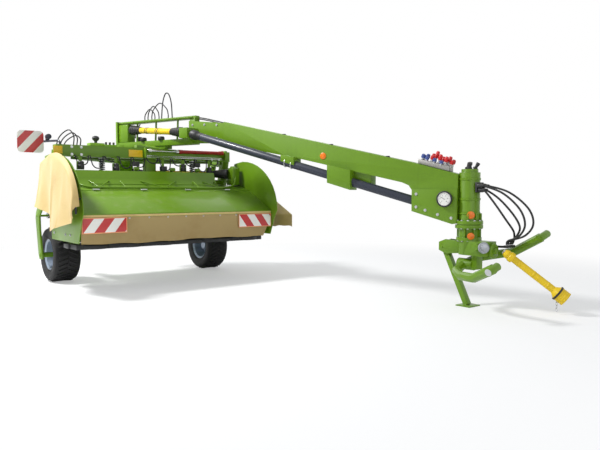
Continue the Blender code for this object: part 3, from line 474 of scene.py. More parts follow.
def repeat(name, unit, places, body, finish, size=1.0, angle=36):
    """The unit mesh set at every place, a matrix each, by a Geometry Nodes tree, as one mesh."""
    points = bpy.data.meshes.new(name + "_points")
    points.from_pydata([place.to_translation() for place in places], [], [])
    turns = points.attributes.new("turn", "FLOAT_VECTOR", "POINT")
    for item, place in zip(turns.data, places):
        item.vector = place.to_euler()
    carrier = bpy.data.objects.new(name, points)
    source = bpy.data.objects.new(name + "_unit", unit)
    bpy.context.scene.collection.objects.link(carrier)
    bpy.context.scene.collection.objects.link(source)
    tree = bpy.data.node_groups.new(name + "_tree", "GeometryNodeTree")
    for label, kind in (("Geometry", "NodeSocketGeometry"), ("Unit", "NodeSocketObject"),
                        ("Size", "NodeSocketFloat"),
                        ("Finish", "NodeSocketMaterial")):
        tree.interface.new_socket(label, in_out="INPUT", socket_type=kind)
    tree.interface.new_socket("Geometry", in_out="OUTPUT", socket_type="NodeSocketGeometry")
    add = tree.nodes.new
    given, result = add("NodeGroupInput"), add("NodeGroupOutput")
    shape, turn, euler = add("GeometryNodeObjectInfo"), add("GeometryNodeInputNamedAttribute"), add(
        "FunctionNodeEulerToRotation")
    turn.data_type = "FLOAT_VECTOR"
    turn.inputs["Name"].default_value = "turn"
    copies, real, cover = add("GeometryNodeInstanceOnPoints"), add("GeometryNodeRealizeInstances"), add(
        "GeometryNodeSetMaterial")
    for start, end in ((given.outputs["Geometry"], copies.inputs["Points"]),
                       (given.outputs["Unit"], shape.inputs["Object"]),
                       (shape.outputs["Geometry"], copies.inputs["Instance"]),
                       (turn.outputs["Attribute"], euler.inputs[0]),
                       (euler.outputs[0], copies.inputs["Rotation"]),
                       (given.outputs["Size"], copies.inputs["Scale"]),
                       (copies.outputs[0], real.inputs[0]), (real.outputs[0], cover.inputs["Geometry"]),
                       (given.outputs["Finish"], cover.inputs["Material"]),
                       (cover.outputs[0], result.inputs[0])):
        tree.links.new(start, end)
    modifier = carrier.modifiers.new("repeat", "NODES")
    modifier.node_group = tree
    sockets = {item.name: item.identifier for item in tree.interface.items_tree if item.in_out == "INPUT"}
    modifier[sockets["Unit"]] = source
    modifier[sockets["Size"]] = size
    modifier[sockets["Finish"]] = finish
    bpy.context.view_layer.update()
    settle(carrier)
    bpy.data.objects.remove(source)
    shade(carrier, angle)
    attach(carrier, body)
    return carrier


def unit_mesh(work):
    """A Work's mesh by itself, to be repeated."""
    mesh = bpy.data.meshes.new("unit")
    work.mesh.to_mesh(mesh)
    work.mesh.free()
    return mesh


def facing(place, outward):
    """A matrix at place whose Z points outward."""
    return Matrix.Translation(place) @ Vector(outward).to_track_quat("Z", "Y").to_matrix().to_4x4()


def bolt_mesh(radius=0.011):
    """Hex head on a washer, standing on its own Z = 0."""
    work = Work()
    work.lathe([(0.0, 0.0), (radius * 1.55, 0.0), (radius * 1.55, radius * 0.25), (0.0, radius * 0.25)],
               (0, 0, 0), (0, 0, 1), 16)
    work.lathe([(0.0, radius * 0.25), (radius * 1.05, radius * 0.25), (radius * 1.05, radius * 0.85),
                (radius * 0.9, radius), (0.0, radius)], (0, 0, 0), (0, 0, 1), 6)
    return unit_mesh(work)


def ring_of(centre, outward, radius, count, start=0.0):
    """Places round a bolt circle."""
    turn = facing(centre, outward)
    return [turn @ Matrix.Rotation(start + math.tau * index / count, 4,
                                   "Z") @ Matrix.Translation((radius, 0, 0))
            for index in range(count)]


places = [at(side * x, y, z) for side in (1, -1) for x, y, z in
          ((1.566 - 0.006, -1.30, 0.80), (1.566 - 0.006, -1.10, 0.80), (1.566 - 0.006, -0.60, 0.80),
           (1.566 - 0.006, -0.60, 1.62))]
outs = [Vector((side, 0, 0)) for side in (1, -1) for _ in range(4)]
portal_bolts = [facing(at(side * x, -0.505, z), (0, -1, 0)) for side in (1, -1) for x in (1.12, 1.26)
                for z in (1.945, 2.055)]
repeat("carrier_bolts", bolt_mesh(0.013), [facing(place, out) for place,
                                           out in zip(places, outs)] + portal_bolts,
       "carrier", finishes["zinc"])
beam_bolts = [facing(draw(k, side * 0.13, z), draw_left * side) for side in (1, -1) for k, z in
              ((5.50, 1.20), (5.50, 1.36), (5.62, 1.16), (5.78, 1.11), (5.95, 1.07))]
beam_bolts += [facing(draw(k, side * 0.065, z), draw_left * side) for side in (1, -1) for k, z in
               ((1.70, 2.27), (1.70, 2.45), (1.95, 2.22), (1.95, 2.44), (2.20, 2.22), (2.20, 2.42))]
beam_bolts += ring_of(column + Vector((0, 0, 1.04)), (0, 0, 1), 0.147, 12)
repeat("drawbar_bolts", bolt_mesh(0.012), beam_bolts, "drawbar", finishes["zinc"])
head_bolts = ring_of(column + Vector((0, 0, 0.80)), (0, 0, -1), 0.137, 12) + ring_of(
    column + Vector((0, 0, 0.95)), (0, 0, -1), 0.147, 12)
repeat("head_bolts", bolt_mesh(0.010), head_bolts, "hitch_head", finishes["zinc"])


# ---------------------------------------------------------------- wheels
# Wide low-pressure implement tyres with slanted tread bars on pressed silver rims with six wheel nuts.
TYRE_R, TREAD_BASE, HALF_WIDTH, BEAD = 0.425, 0.404, 0.195, 0.226
BARS = 34


def tyre_profile():
    """The tyre's section, from one bead over the tread to the other."""
    half = [(BEAD, 0.150), (0.238, 0.168), (0.262, 0.182), (0.266, 0.186), (0.272, 0.183), (0.305, 0.192),
            (0.345, HALF_WIDTH), (0.372, 0.192), (0.392, 0.181), (TREAD_BASE - 0.003, 0.165),
            (TREAD_BASE, 0.10)]
    return half + [(radius, -height) for radius, height in reversed(half)]


bar = Work()
bar.box((-0.150, -0.013, -0.012), (-0.008, 0.013, 0.0155), Matrix.Rotation(math.radians(24), 4, "Z"), 0.004)
bar_left = unit_mesh(bar)
bar = Work()
bar.box((0.008, -0.013, -0.012), (0.150, 0.013, 0.0155), Matrix.Rotation(math.radians(-24), 4, "Z"), 0.004)
bar_right = unit_mesh(bar)

for name, side in (("left", 1), ("right", -1)):
    hub = at(side * 1.305, 0.0, TYRE_R)
    out = Vector((side, 0, 0))
    body = "wheel_" + name
    work = Work()
    work.lathe(tyre_profile(), hub, hub + out, 96)
    tyre = work.done("tyre_%s_carcass" % name, body, finishes["tyre"], "tyre", 30)
    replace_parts(tyre, "tyre_" + name)
    for unit, label, offset in ((bar_left, "in", 0.0), (bar_right, "out", 0.5)):
        spots = []
        for index in range(BARS):
            turn = math.tau * (index + offset) / BARS
            spots.append(Matrix.Translation(hub) @ Matrix.Rotation(turn, 4, "X")
                         @ Matrix.Translation((0, 0, TREAD_BASE)))
        repeat("tread_%s_%s" % (name, label), unit, spots, body, finishes["tyre"])
    work = Work()
    work.lathe([(0.0, 0.060), (0.040, 0.060), (0.048, 0.052), (0.052, 0.030), (0.060, 0.022), (0.098, 0.020),
                (0.118, 0.006), (0.140, 0.004), (0.168, 0.030), (0.186, 0.052), (0.196, 0.058),
                (0.203, 0.110),
                (0.208, 0.148), (0.224, 0.156), (0.236, 0.166), (0.240, 0.162), (BEAD, 0.146), (0.213, 0.130),
                (0.200, 0.0), (0.213, -0.130), (BEAD, -0.146), (0.240, -0.162), (0.236, -0.166),
                (0.224, -0.156),
                (0.208, -0.148), (0.196, -0.05), (0.190, 0.020), (0.160, 0.006), (0.140, -0.012),
                (0.10, -0.012),
                (0.085, -0.030), (0.070, -0.086), (0.0, -0.086)][::-1], hub, hub + out, 72)
    rim = work.done("rim_%s_pressing" % name, body, finishes["rim"], "rim", 34)
    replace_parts(rim, "rim_" + name)
    repeat("wheel_nuts_" + name, bolt_mesh(0.012), ring_of(hub + out * 0.020, out, 0.082, 6), body,
           finishes["zinc"])
    work = Work()
    work.tube([hub + out * 0.05 + Vector((0, 0, 0.185)), hub + out * 0.085 + Vector((0, 0, 0.178))], 0.006, 8)
    work.lathe([(0.0, 0.0), (0.030, 0.0), (0.034, 0.006), (0.034, 0.012), (0.024, 0.020), (0.0, 0.022)],
               hub + out * 0.052, hub + out, 28)
    work.done("hub_cap_" + name, body, finishes["black_plastic"], "black_plastic")


# ---------------------------------------------------------------- canvas
# Coated canvas skirts keep stones in: one across the front, one over each side, sewn with a hem and eyelets.
def canvas(name, warm):
    finish = Finish(name, {"Sheen Weight": 0.25, "Sheen Roughness": 0.5})
    across = (finish.axis("X") * 1900.0).sine() + (finish.axis("Y") * 1900.0).sine()
    upright = (finish.axis("Z") * 1900.0).sine()
    stain = finish.ramp(finish.noise(3.0, 6.0), 0.48, 0.75)
    low = finish.ramp(finish.axis("Z"), 1.15, 0.70) * 0.35
    fair = (0.64 * warm, 0.47 * warm, 0.18 * warm)
    tone = finish.mix(stain * 0.35, fair, (0.44 * warm, 0.27 * warm, 0.08 * warm))
    tone = finish.mix(low, tone, (0.40 * warm, 0.25 * warm, 0.07 * warm))
    finish.set("Base Color", tone)
    finish.set("Roughness", stain * 0.12 + 0.62)
    finish.bump((across * upright) * 0.25 + finish.noise(38.0, 4.0) * 2.0, 0.35, 0.0011)
    return finish.material


pale_canvas = canvas("pale_canvas", 1.0)
front_canvas = canvas("front_canvas", 0.62)


def cloth_sheet(name, rows, columns, where, body, node, finish):
    """A grid of cloth that where(u, v) places, u across and v down, 0 to 1, thickened by Solidify."""
    grid = bmesh.new()
    points = [[grid.verts.new(where(column / columns, row / rows)) for column in range(columns + 1)]
              for row in range(rows + 1)]
    for row in range(rows):
        for column in range(columns):
            grid.faces.new((points[row][column], points[row][column + 1], points[row + 1][column + 1],
                            points[row + 1][column]))
    mesh = bpy.data.meshes.new(name)
    grid.to_mesh(mesh)
    grid.free()
    piece = bpy.data.objects.new(name, mesh)
    bpy.context.scene.collection.objects.link(piece)
    wall = piece.modifiers.new("thickness", "SOLIDIFY")
    wall.thickness = 0.004
    wall.offset = 0.0
    settle(piece)
    piece.data.materials.append(finish)
    piece.data.shade_smooth()
    piece.data.set_sharp_from_angle(angle=math.radians(60))
    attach(piece, body)
    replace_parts(piece, node)
    return piece


CURTAIN_HALF, CURTAIN_Y, CURTAIN_TOP, CURTAIN_LOW = 1.535, -1.645, 1.046, 0.685


def curtain(u, v):
    """The front skirt hangs nearly flat and waves a little towards its lower edge."""
    x = -CURTAIN_HALF + (2 * CURTAIN_HALF - 0.13 * v ** 1.5) * u
    wave = 0.010 * math.sin(x * 5.2) + 0.007 * math.sin(x * 13.0 + 1.0) + 0.005 * math.sin(x * 27.0)
    edge = 0.012 * math.sin(x * 3.1 + 0.5) + 0.008 * math.sin(x * 11.0)
    return at(x, CURTAIN_Y + wave * v * v + 0.010 * v,
              CURTAIN_TOP + (CURTAIN_LOW + edge * 0.6 - CURTAIN_TOP) * v)


cloth_sheet("front_skirt", 18, 150, curtain, "front_guard", "front_curtain",
            front_canvas)

ARCH = (-0.80, 1.10, 1.01, 0.81)


def arch(turn, grow):
    """A place on the side plate's quarter-round edge: turn 0 at its front, 1 at its top."""
    angle = math.radians(180 - 90 * turn)
    return (ARCH[0] + (ARCH[2] + grow) * math.cos(angle), ARCH[1] + (ARCH[3] + grow) * math.sin(angle))


RAIL_X, RAIL_SHARE = -1.635, 0.04
DRAPE_BEND = 0.78
DRAPE_LOW = ((0.0, (-1.86, 1.06)), (0.20, (-1.74, 0.99)), (0.40, (-1.30, 0.90)), (0.56, (-0.93, 0.84)),
             (0.64, (-0.96, 1.03)), (1.0, (-0.33, 1.18)))


def drape(u, v):
    """The right canvas runs over the rail along the arch and hangs outside it, in opening folds."""
    if u < DRAPE_BEND:
        top = Vector(arch(0.06 + 0.94 * u / DRAPE_BEND, 0.0))
    else:
        top = Vector(arch(1.0, 0.0)).lerp(Vector((-0.34, 1.81)), (u - DRAPE_BEND) / (1.0 - DRAPE_BEND))
    for (u0, low0), (u1, low1) in zip(DRAPE_LOW, DRAPE_LOW[1:]):
        if u <= u1:
            share = (u - u0) / (u1 - u0)
            low = Vector(low0).lerp(Vector(low1), share * share * (3 - 2 * share))
            break
    place = top.lerp(low, v * v * (3 - 2 * v) * 0.5 + v * 0.5)
    broad = 0.5 + 0.5 * math.sin(u * 11.0 + v * 2.2 + 0.8)
    fold = 0.5 + 0.5 * math.sin(u * 24.0 - v * 1.6 + 0.6 * math.sin(u * 7.0))
    crease = 0.5 + 0.5 * math.sin(u * 47.0 + v * 6.0)
    over = min(1.0, v / RAIL_SHARE)
    out = 0.062 * math.sin(over * math.pi / 2) + (0.070 * broad + 0.034 * fold + 0.010 * crease) * v ** 0.8
    return at(RAIL_X + 0.030 - out, place.x, place.y + 0.026 * math.cos(over * math.pi / 2))


cloth_sheet("right_side_canvas", 46, 110, drape, "side_guard_right", "side_guard_right",
            pale_canvas)

FLAP_PIN, FLAP_TILT = (1.572, -1.16, 1.27), math.radians(55.0)


def flap(u, v):
    """The left canvas is folded out over its stays, and its last hand's breadth hangs down."""
    y = FLAP_PIN[1] - 0.52 + 1.04 * u
    run = v * 0.66
    wave = 0.012 * math.sin(u * 9.0) * v + 0.006 * math.sin(u * 23.0)
    if run < 0.46:
        return at(FLAP_PIN[0] + 0.010 + run * math.sin(FLAP_TILT), y,
                  FLAP_PIN[2] - run * math.cos(FLAP_TILT) + wave)
    fall = run - 0.46
    return at(FLAP_PIN[0] + 0.010 + 0.46 * math.sin(FLAP_TILT) + 0.012 * math.sin(u * 14.0) * fall * 5, y,
              FLAP_PIN[2] - 0.46 * math.cos(FLAP_TILT) - fall + wave)


cloth_sheet("left_side_canvas", 30, 60, flap, "side_guard_left", "side_guard_left",
            pale_canvas)

work = Work()
work.box(at(-CURTAIN_HALF, -1.6605, 1.048), at(CURTAIN_HALF, -1.6575, 1.078), edge=0.001)
work.done("reflecting_strip", "front_guard", pale_canvas, "cloth")
eyelet = Work()
eyelet.lathe([(0.006, 0.0), (0.013, 0.0), (0.013, 0.002), (0.011, 0.004), (0.008, 0.004), (0.006, 0.002)],
             (0, 0, 0),
             (0, 0, 1), 16)
repeat("skirt_eyelets", unit_mesh(eyelet), [facing(at(-1.45 + index * 0.29, -1.652, 1.028), (0, -1, 0))
                                            for index in range(11)], "front_guard", finishes["zinc"])


# ---------------------------------------------------------------- warning boards
# Slanted red and white reflecting stripes: two on the front skirt, one on the arm beyond the right side.
def stripes(name, slope, pitch, shift, red=(0.50, 0.006, 0.008), white=(0.84, 0.83, 0.78)):
    finish = Finish(name, {"Coat Weight": 0.3})
    run = (finish.axis("X") + finish.axis("Z") * slope) / pitch + shift
    tone = finish.mix(run.part().above(0.5), red, white)
    dirt = finish.noise(30.0, 4.0)
    finish.set("Base Color", finish.mix(dirt * 0.10, tone, (0.45, 0.34, 0.26)))
    finish.set("Roughness", dirt * 0.2 + 0.3)
    finish.bump(finish.noise(700.0, 1.0), 0.2, 0.0003)
    return finish.material


skirt_stripes = {"right": stripes("skirt_stripes_right", -0.75, 0.285, 0.08),
                 "left": stripes("skirt_stripes_left", 0.75, 0.285, 0.12)}
board_stripes = stripes("board_stripes", -0.9, 0.27, 0.30)
frame_tape = moulded("pale_orange_tape", (0.86, 0.36, 0.16), 0.4, 500.0, 0.0)
for name, side in (("left", 1), ("right", -1)):
    x = side * 1.222
    low, high = at(x - 0.312, -1.666, 0.830), at(x + 0.312, -1.661, 1.043)
    work = Work()
    work.box(low, high, edge=0.001)
    work.done("chevron_back_" + name, "front_guard", frame_tape, "warning_stripes")
    work = Work()
    rim_width = Vector((0.013, 0.0, 0.013))
    work.box(low + rim_width + Vector((0, -0.003, 0)), high - rim_width, edge=0.0008)
    work.done("chevron_panel_" + name, "front_guard", skirt_stripes[name], "warning_stripes")

low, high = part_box("warning_board")
outline = []
for corner_x, corner_z, turn in ((high.x, high.z, 0), (low.x, high.z, 90), (low.x, low.z, 180),
                                 (high.x, low.z, 270)):
    inset = Vector((math.copysign(0.06, (low.x + high.x) / 2 - corner_x),
                    math.copysign(0.06, (low.z + high.z) / 2 - corner_z)))
    for step in range(7):
        angle = math.radians(turn + 15 * step)
        outline.append((corner_x + inset.x + 0.06 * math.cos(angle),
                        corner_z + inset.y + 0.06 * math.sin(angle)))
solid = bmesh.new()
front = solid.faces.new([solid.verts.new((x, low.y, z)) for x, z in outline])
grown = bmesh.ops.extrude_face_region(solid, geom=[front])
bmesh.ops.translate(solid, verts=[item for item in grown["geom"] if isinstance(item, bmesh.types.BMVert)],
                    vec=(0, high.y - low.y, 0))
work = Work()
work.take(solid)
board = work.done("warning_board_plate", "carrier", board_stripes, "warning_stripes")
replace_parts(board, "warning_board")

work = Work()
for x, z in ((-1.459, 2.005), (-0.268, 1.995)):
    work.box(at(x - 0.062 if x < -1 else x - 0.115, -0.513, z - 0.055),
             at(x + 0.062 if x < -1 else x + 0.115, -0.5055, z + 0.055),
             edge=0.002)
work.done("crossbeam_reflectors", "carrier", yellow_lens, "yellow_plastic")
disc = Work()
disc.lathe([(0.0, 0.0), (0.046, 0.0), (0.046, 0.006), (0.040, 0.010), (0.0, 0.013)], (0, 0, 0), (0, 0, 1), 32)
lens = unit_mesh(disc)
column_side = Vector((-0.72, -0.69, 0.0)).normalized()
repeat("beam_reflectors", lens, [facing(draw(4.14, -0.1105, 1.877), -draw_left),
                                 facing(column + column_side * 0.126 + Vector((0, 0, 1.11)), column_side)],
       "drawbar", orange_lens)
repeat("head_reflector", lens, [facing(column + column_side * 0.1505 + Vector((0, 0, 0.86)), column_side)],
       "hitch_head", orange_lens, 0.9)


# ---------------------------------------------------------------- driveline
# Guarded shafts: a long dark tube under the beam, ribbed yellow guards with black cones, and bellows.
def cone(work, start, end, base, tip, ribs=5):
    """A moulded cone with ribs, its wide mouth at start."""
    length = (Vector(end) - Vector(start)).length
    profile = [(0.0, 0.0), (base - 0.004, 0.0), (base, 0.004), (base, 0.03)]
    for index in range(ribs):
        share = (index + 0.5) / ribs
        radius = base + (tip - base) * share
        height = 0.03 + (length - 0.04) * share
        profile += [(radius, height - 0.006), (radius + 0.004, height - 0.002),
                    (radius + 0.004, height + 0.002),
                    (radius - 0.002, height + 0.006)]
    profile += [(tip, length), (0.0, length)]
    work.lathe(profile, start, end, 48)


def guard_tube(work, start, end, radius, ribs):
    """A yellow guard tube with turned rings along it."""
    length = (Vector(end) - Vector(start)).length
    profile = [(0.0, 0.0), (radius, 0.0)]
    for index in range(ribs):
        height = length * (index + 0.5) / ribs
        profile += [(radius, height - 0.008), (radius + 0.003, height - 0.005),
                    (radius + 0.003, height + 0.005),
                    (radius, height + 0.008)]
    profile += [(radius, length), (0.0, length)]
    work.lathe(profile, start, end, 40)


rear, front = draw(0.24, 0.0, 2.455), draw(1.60, -0.20, 2.33)
work = Work()
guard_tube(work, rear.lerp(front, 0.14), rear.lerp(front, 0.86), 0.049, 4)
shaft = work.done("rear_shaft_guard", "drawbar", finishes["yellow_plastic"], "yellow_plastic")
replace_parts(shaft, "rear_drive_shaft")
work = Work()
cone(work, rear, rear.lerp(front, 0.19), 0.080, 0.054)
cone(work, front, rear.lerp(front, 0.81), 0.080, 0.054)
work.done("rear_shaft_cones", "drawbar", finishes["black_plastic"], "black_plastic")
work = Work()
for share in (0.30, 0.335, 0.52, 0.555):
    spot = rear.lerp(front, share)
    work.rod(spot, spot + (front - rear).normalized() * 0.018, 0.0525)
work.done("rear_shaft_bands", "drawbar", finishes["black_plastic"], "black_plastic")

start, end = at(0.135, 0.54, 1.72), at(1.345, -0.66, 1.695)
work = Work()
guard_tube(work, start.lerp(end, 0.10), start.lerp(end, 0.88), 0.046, 5)
shaft = work.done("cross_shaft_guard", "carrier", finishes["yellow_plastic"], "yellow_plastic")
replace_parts(shaft, "cross_drive_shaft")
work = Work()
cone(work, start.lerp(end, 0.004), start.lerp(end, 0.13), 0.080, 0.052)
cone(work, start.lerp(end, 0.996), start.lerp(end, 0.84), 0.085, 0.056, 9)
work.done("cross_shaft_bellows", "carrier", finishes["black_plastic"], "black_plastic")

tip = pins["pto_tilt"]
along = Vector((0.33, -0.59, -0.52)).normalized()
work = Work()
guard_tube(work, tip + along * 0.13, tip + along * 0.71, 0.041, 3)
work.lathe([(0.0, 0.09), (0.052, 0.09), (0.060, 0.10), (0.060, 0.135), (0.052, 0.145), (0.0, 0.145)], tip,
           tip + along, 48)
bell = [(0.0, 0.80), (0.070, 0.80), (0.076, 0.862), (0.081, 0.862), (0.083, 0.858)]
for index in range(3):
    height = 0.835 - index * 0.026
    bell += [(0.083, height + 0.007), (0.080, height + 0.003), (0.080, height - 0.003),
             (0.083, height - 0.007)]
bell += [(0.083, 0.752), (0.066, 0.728), (0.050, 0.705), (0.041, 0.690), (0.0, 0.690)]
work.lathe(bell, tip, tip + along, 56)
pto = work.done("tractor_shaft_guard", "pto_shaft", finishes["yellow_plastic"], "yellow_plastic")
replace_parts(pto, "pto_shaft")
work = Work()
work.lathe([(0.081, 0.742), (0.087, 0.744), (0.088, 0.756), (0.086, 0.764), (0.081, 0.764)], tip,
           tip + along, 56)
work.lathe([(0.0, 0.79), (0.030, 0.79), (0.030, 0.84), (0.0, 0.84)], tip, tip + along, 24)
work.done("tractor_shaft_rings", "pto_shaft", finishes["black_plastic"], "black_plastic")
work = Work()
work.lathe([(0.0, 0.02), (0.034, 0.02), (0.050, 0.05), (0.053, 0.065), (0.050, 0.070), (0.052, 0.088),
            (0.0, 0.088)],
           tip, tip + along, 40)
work.done("tractor_shaft_cone", "pto_shaft", finishes["yellow_plastic"], "yellow_plastic")
work = Work()
side = along.orthogonal().normalized()
for turn in (0, 90):
    reach = Matrix.Rotation(math.radians(turn), 4, along) @ side * 0.030
    work.rod(tip + along * 0.012 - reach, tip + along * 0.012 + reach, 0.011)
work.rod(tip + along * 0.795, tip + along * 0.858, 0.021)
work.done("tractor_shaft_joint", "pto_shaft", finishes["blade_steel"], "blade_steel")

link = Work()
route = [Vector((0.0105 * math.sin(turn), 0.0,
                 0.016 * math.cos(turn) + (0.006 if math.cos(turn) > 0 else -0.006)))
         for turn in (math.tau * step / 14 for step in range(14))]
route.append(route[0])
link.tube(route, 0.0028, 6)
chain = []
hang = tip + along * 0.74 + Vector((0.0, 0.0, -0.090))
for index in range(4):
    chain.append(Matrix.Translation(hang - Vector((0, 0, 0.005 + 0.034 * index)))
                 @ Matrix.Rotation(math.radians(90 * (index % 2)), 4, "Z"))
repeat("guard_chain", unit_mesh(link), chain, "pto_shaft", finishes["zinc"])


# ---------------------------------------------------------------- gauge and couplers at the drawbar's front
# A round gauge shows the load on the swath; the parked hose couplers wear red and blue dust caps.
gauge = draw(5.875, -0.1305, 1.300)
facing_out = -draw_left
GAUGE = 0.098                # case's outer radius
work = Work()
work.lathe([(0.0, 0.0), (0.03, 0.0), (GAUGE - 0.014, 0.012), (GAUGE - 0.003, 0.016), (GAUGE, 0.03),
            (GAUGE, 0.044),
            (GAUGE - 0.007, 0.049), (GAUGE - 0.015, 0.048), (GAUGE - 0.017, 0.041), (0.0, 0.041)],
           gauge, gauge + facing_out, 64)
case = work.done("gauge_case", "drawbar", finishes["black_plastic"], "black_plastic")
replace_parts(case, "load_gauge")
work = Work()
work.lathe([(0.0, 0.0411), (GAUGE - 0.018, 0.0411), (GAUGE - 0.018, 0.0426), (0.0, 0.0426)], gauge,
           gauge + facing_out, 48)
work.done("gauge_dial", "drawbar", white_face, "black_plastic")
up_turn = Matrix.Translation(gauge + facing_out * 0.0428) @ Matrix(
    (draw_along, Vector((0, 0, 1)), draw_along.cross(Vector((0, 0, 1))))).transposed().to_4x4()
work = Work()
for index in range(26):
    angle = math.radians(225 - 270 * index / 25)
    reach = GAUGE - (0.036 if index % 5 else 0.043)
    place = up_turn @ Matrix.Rotation(angle, 4, "Z")
    work.box((reach, -0.0009, 0.0), (GAUGE - 0.025, 0.0009, 0.0008), place, 0.0)
work.box((-0.014, -0.0018, 0.0008), (GAUGE - 0.040, 0.0018, 0.0016),
         up_turn @ Matrix.Rotation(math.radians(150), 4, "Z"), 0.0)
work.done("gauge_ticks", "drawbar", finishes["black_plastic"], "black_plastic")
for index in range(6):
    angle = math.radians(225 - 270 * index / 5)
    letters = bpy.data.curves.new("gauge_number_%d" % index, "FONT")
    letters.body = str(index * 2)
    letters.size = 0.019
    letters.align_x, letters.align_y = "CENTER", "CENTER"
    letters.extrude = 0.0003
    text = bpy.data.objects.new("gauge_number_%d" % index, letters)
    bpy.context.scene.collection.objects.link(text)
    bpy.context.view_layer.update()
    mesh = bpy.data.meshes.new_from_object(text.evaluated_get(bpy.context.evaluated_depsgraph_get()))
    bpy.data.objects.remove(text)
    mesh.transform(up_turn @ Matrix.Translation((0.042 * math.cos(angle), 0.042 * math.sin(angle), 0.0004)))
    mesh.materials.clear()
    mesh.materials.append(finishes["black_plastic"])
    piece = bpy.data.objects.new("gauge_number_%d" % index, mesh)
    bpy.context.scene.collection.objects.link(piece)
    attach(piece, "drawbar")

# along the drawbar, to its left, height above the block, colour
CAPS = ((5.62, 0.055, 0.12, "red"), (5.66, -0.050, 0.10, "red"), (5.68, 0.010, 0.16, "red"),
        (5.72, 0.055, 0.11, "red"),
        (5.75, -0.040, 0.13, "red"), (5.77, 0.020, 0.11, "red"), (5.81, 0.055, 0.10, "red"),
        (5.83, -0.045, 0.12, "red"),
        (5.85, 0.010, 0.13, "red"), (5.89, 0.040, 0.10, "red"), (5.90, -0.030, 0.09, "red"),
        (5.52, 0.045, 0.08, "blue"), (5.54, -0.045, 0.09, "blue"), (5.58, 0.0, 0.10, "blue"),
        (5.60, -0.060, 0.07, "blue"),
        (5.70, -0.065, 0.07, "blue"), (5.79, -0.070, 0.06, "blue"))
works = {"red": Work(), "blue": Work(), "zinc": Work()}
for k, w, rise, colour in CAPS:
    foot = draw(k, w, 1.785 - (k - 5.50) * 0.25)
    lean = (Vector((0, 0, 1.0)) + draw_along * 0.35 + draw_left * (w * 3)).normalized()
    works["zinc"].lathe([(0.0, 0.0), (0.019, 0.0), (0.019, rise * 0.25), (0.014, rise * 0.3),
                         (0.014, rise * 0.55),
                         (0.0, rise * 0.55)], foot, foot + lean, 20)
    works[colour].lathe([(0.0, rise * 0.45), (0.023, rise * 0.45), (0.026, rise * 0.6), (0.023, rise * 0.9),
                         (0.014, rise), (0.0, rise)], foot, foot + lean, 24)
works["red"].done("red_dust_caps", "drawbar", red_cap, "black_plastic")
works["blue"].done("blue_dust_caps", "drawbar", blue_cap, "black_plastic")
works["zinc"].done("coupler_bodies", "drawbar", finishes["zinc"], "zinc")


# ---------------------------------------------------------------- hoses
# Rubber hydraulic hoses with crimped steel ends.
def smooth_route(points, count):
    """Evenly many points on a smooth curve through the route's own points."""
    points = [Vector(point) for point in points]
    ends = [2 * points[0] - points[1]] + points + [2 * points[-1] - points[-2]]
    spans = len(points) - 1
    route = []
    for index in range(count + 1):
        place = min(index * spans / count, spans - 1e-9)
        span = int(place)
        t = place - span
        p0, p1, p2, p3 = ends[span:span + 4]
        route.append(0.5 * (2 * p1 + (p2 - p0) * t + (2 * p0 - 5 * p1 + 4 * p2 - p3) * t * t
                            + (3 * p1 - p0 - 3 * p2 + p3) * t ** 3))
    return route


def length_of(route):
    return sum((after - before).length for before, after in zip(route, route[1:]))


ROUTES = (
    ("hose_1", 0.05, 1.46, [(0.46, 0.12, 1.38), (0.66, 0.19, 1.20), (0.71, 0.22, 1.02),
                            (0.60, 0.24, 0.88)], 0.22),
    ("hose_2", -0.05, 1.46, [(0.44, 0.02, 1.37), (0.62, 0.08, 1.19), (0.66, 0.13, 1.01),
                             (0.56, 0.17, 0.87)], 0.18),
    ("hose_3", 0.02, 1.41, [(0.38, 0.05, 1.30), (0.52, 0.12, 1.12), (0.56, 0.19, 0.98),
                            (0.50, 0.24, 0.88)], 0.26),
    ("hose_4", -0.03, 1.41, [(0.34, 0.00, 1.26), (0.45, 0.08, 1.06), (0.48, 0.18, 0.94),
                             (0.45, 0.26, 0.87)], 0.30),
)
ends_work = Work()
for name, port, level, bend, slot in ROUTES:
    route = [head(0.155, port, level), head(0.22, port, level - 0.002)] + [head(*place) for place in bend]
    route = smooth_route(route + [head(0.42, slot, 0.81), head(0.40, slot, 0.763)], 60)
    work = Work()
    work.tube(route, 0.012, 14)
    mesh = bpy.data.meshes.new(name + "_rubber")
    work.mesh.to_mesh(mesh)
    work.mesh.free()
    hose = bpy.data.objects.new(name + "_rubber", mesh)
    bpy.context.scene.collection.objects.link(hose)
    mesh.materials.append(finishes["hose_rubber"])
    shade(hose, 50)
    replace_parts(hose, name)
    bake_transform(hose)
    length_of(route)
    ends_work.lathe([(0.0, 0.0), (0.019, 0.0), (0.019, 0.02), (0.016, 0.024), (0.016, 0.045), (0.0, 0.045)],
                    route[0] + Vector((0, 0.003, 0)), head(1.0, port, level), 20)
ends_work.done("hose_end_fittings", "drawbar", finishes["zinc"], "zinc")

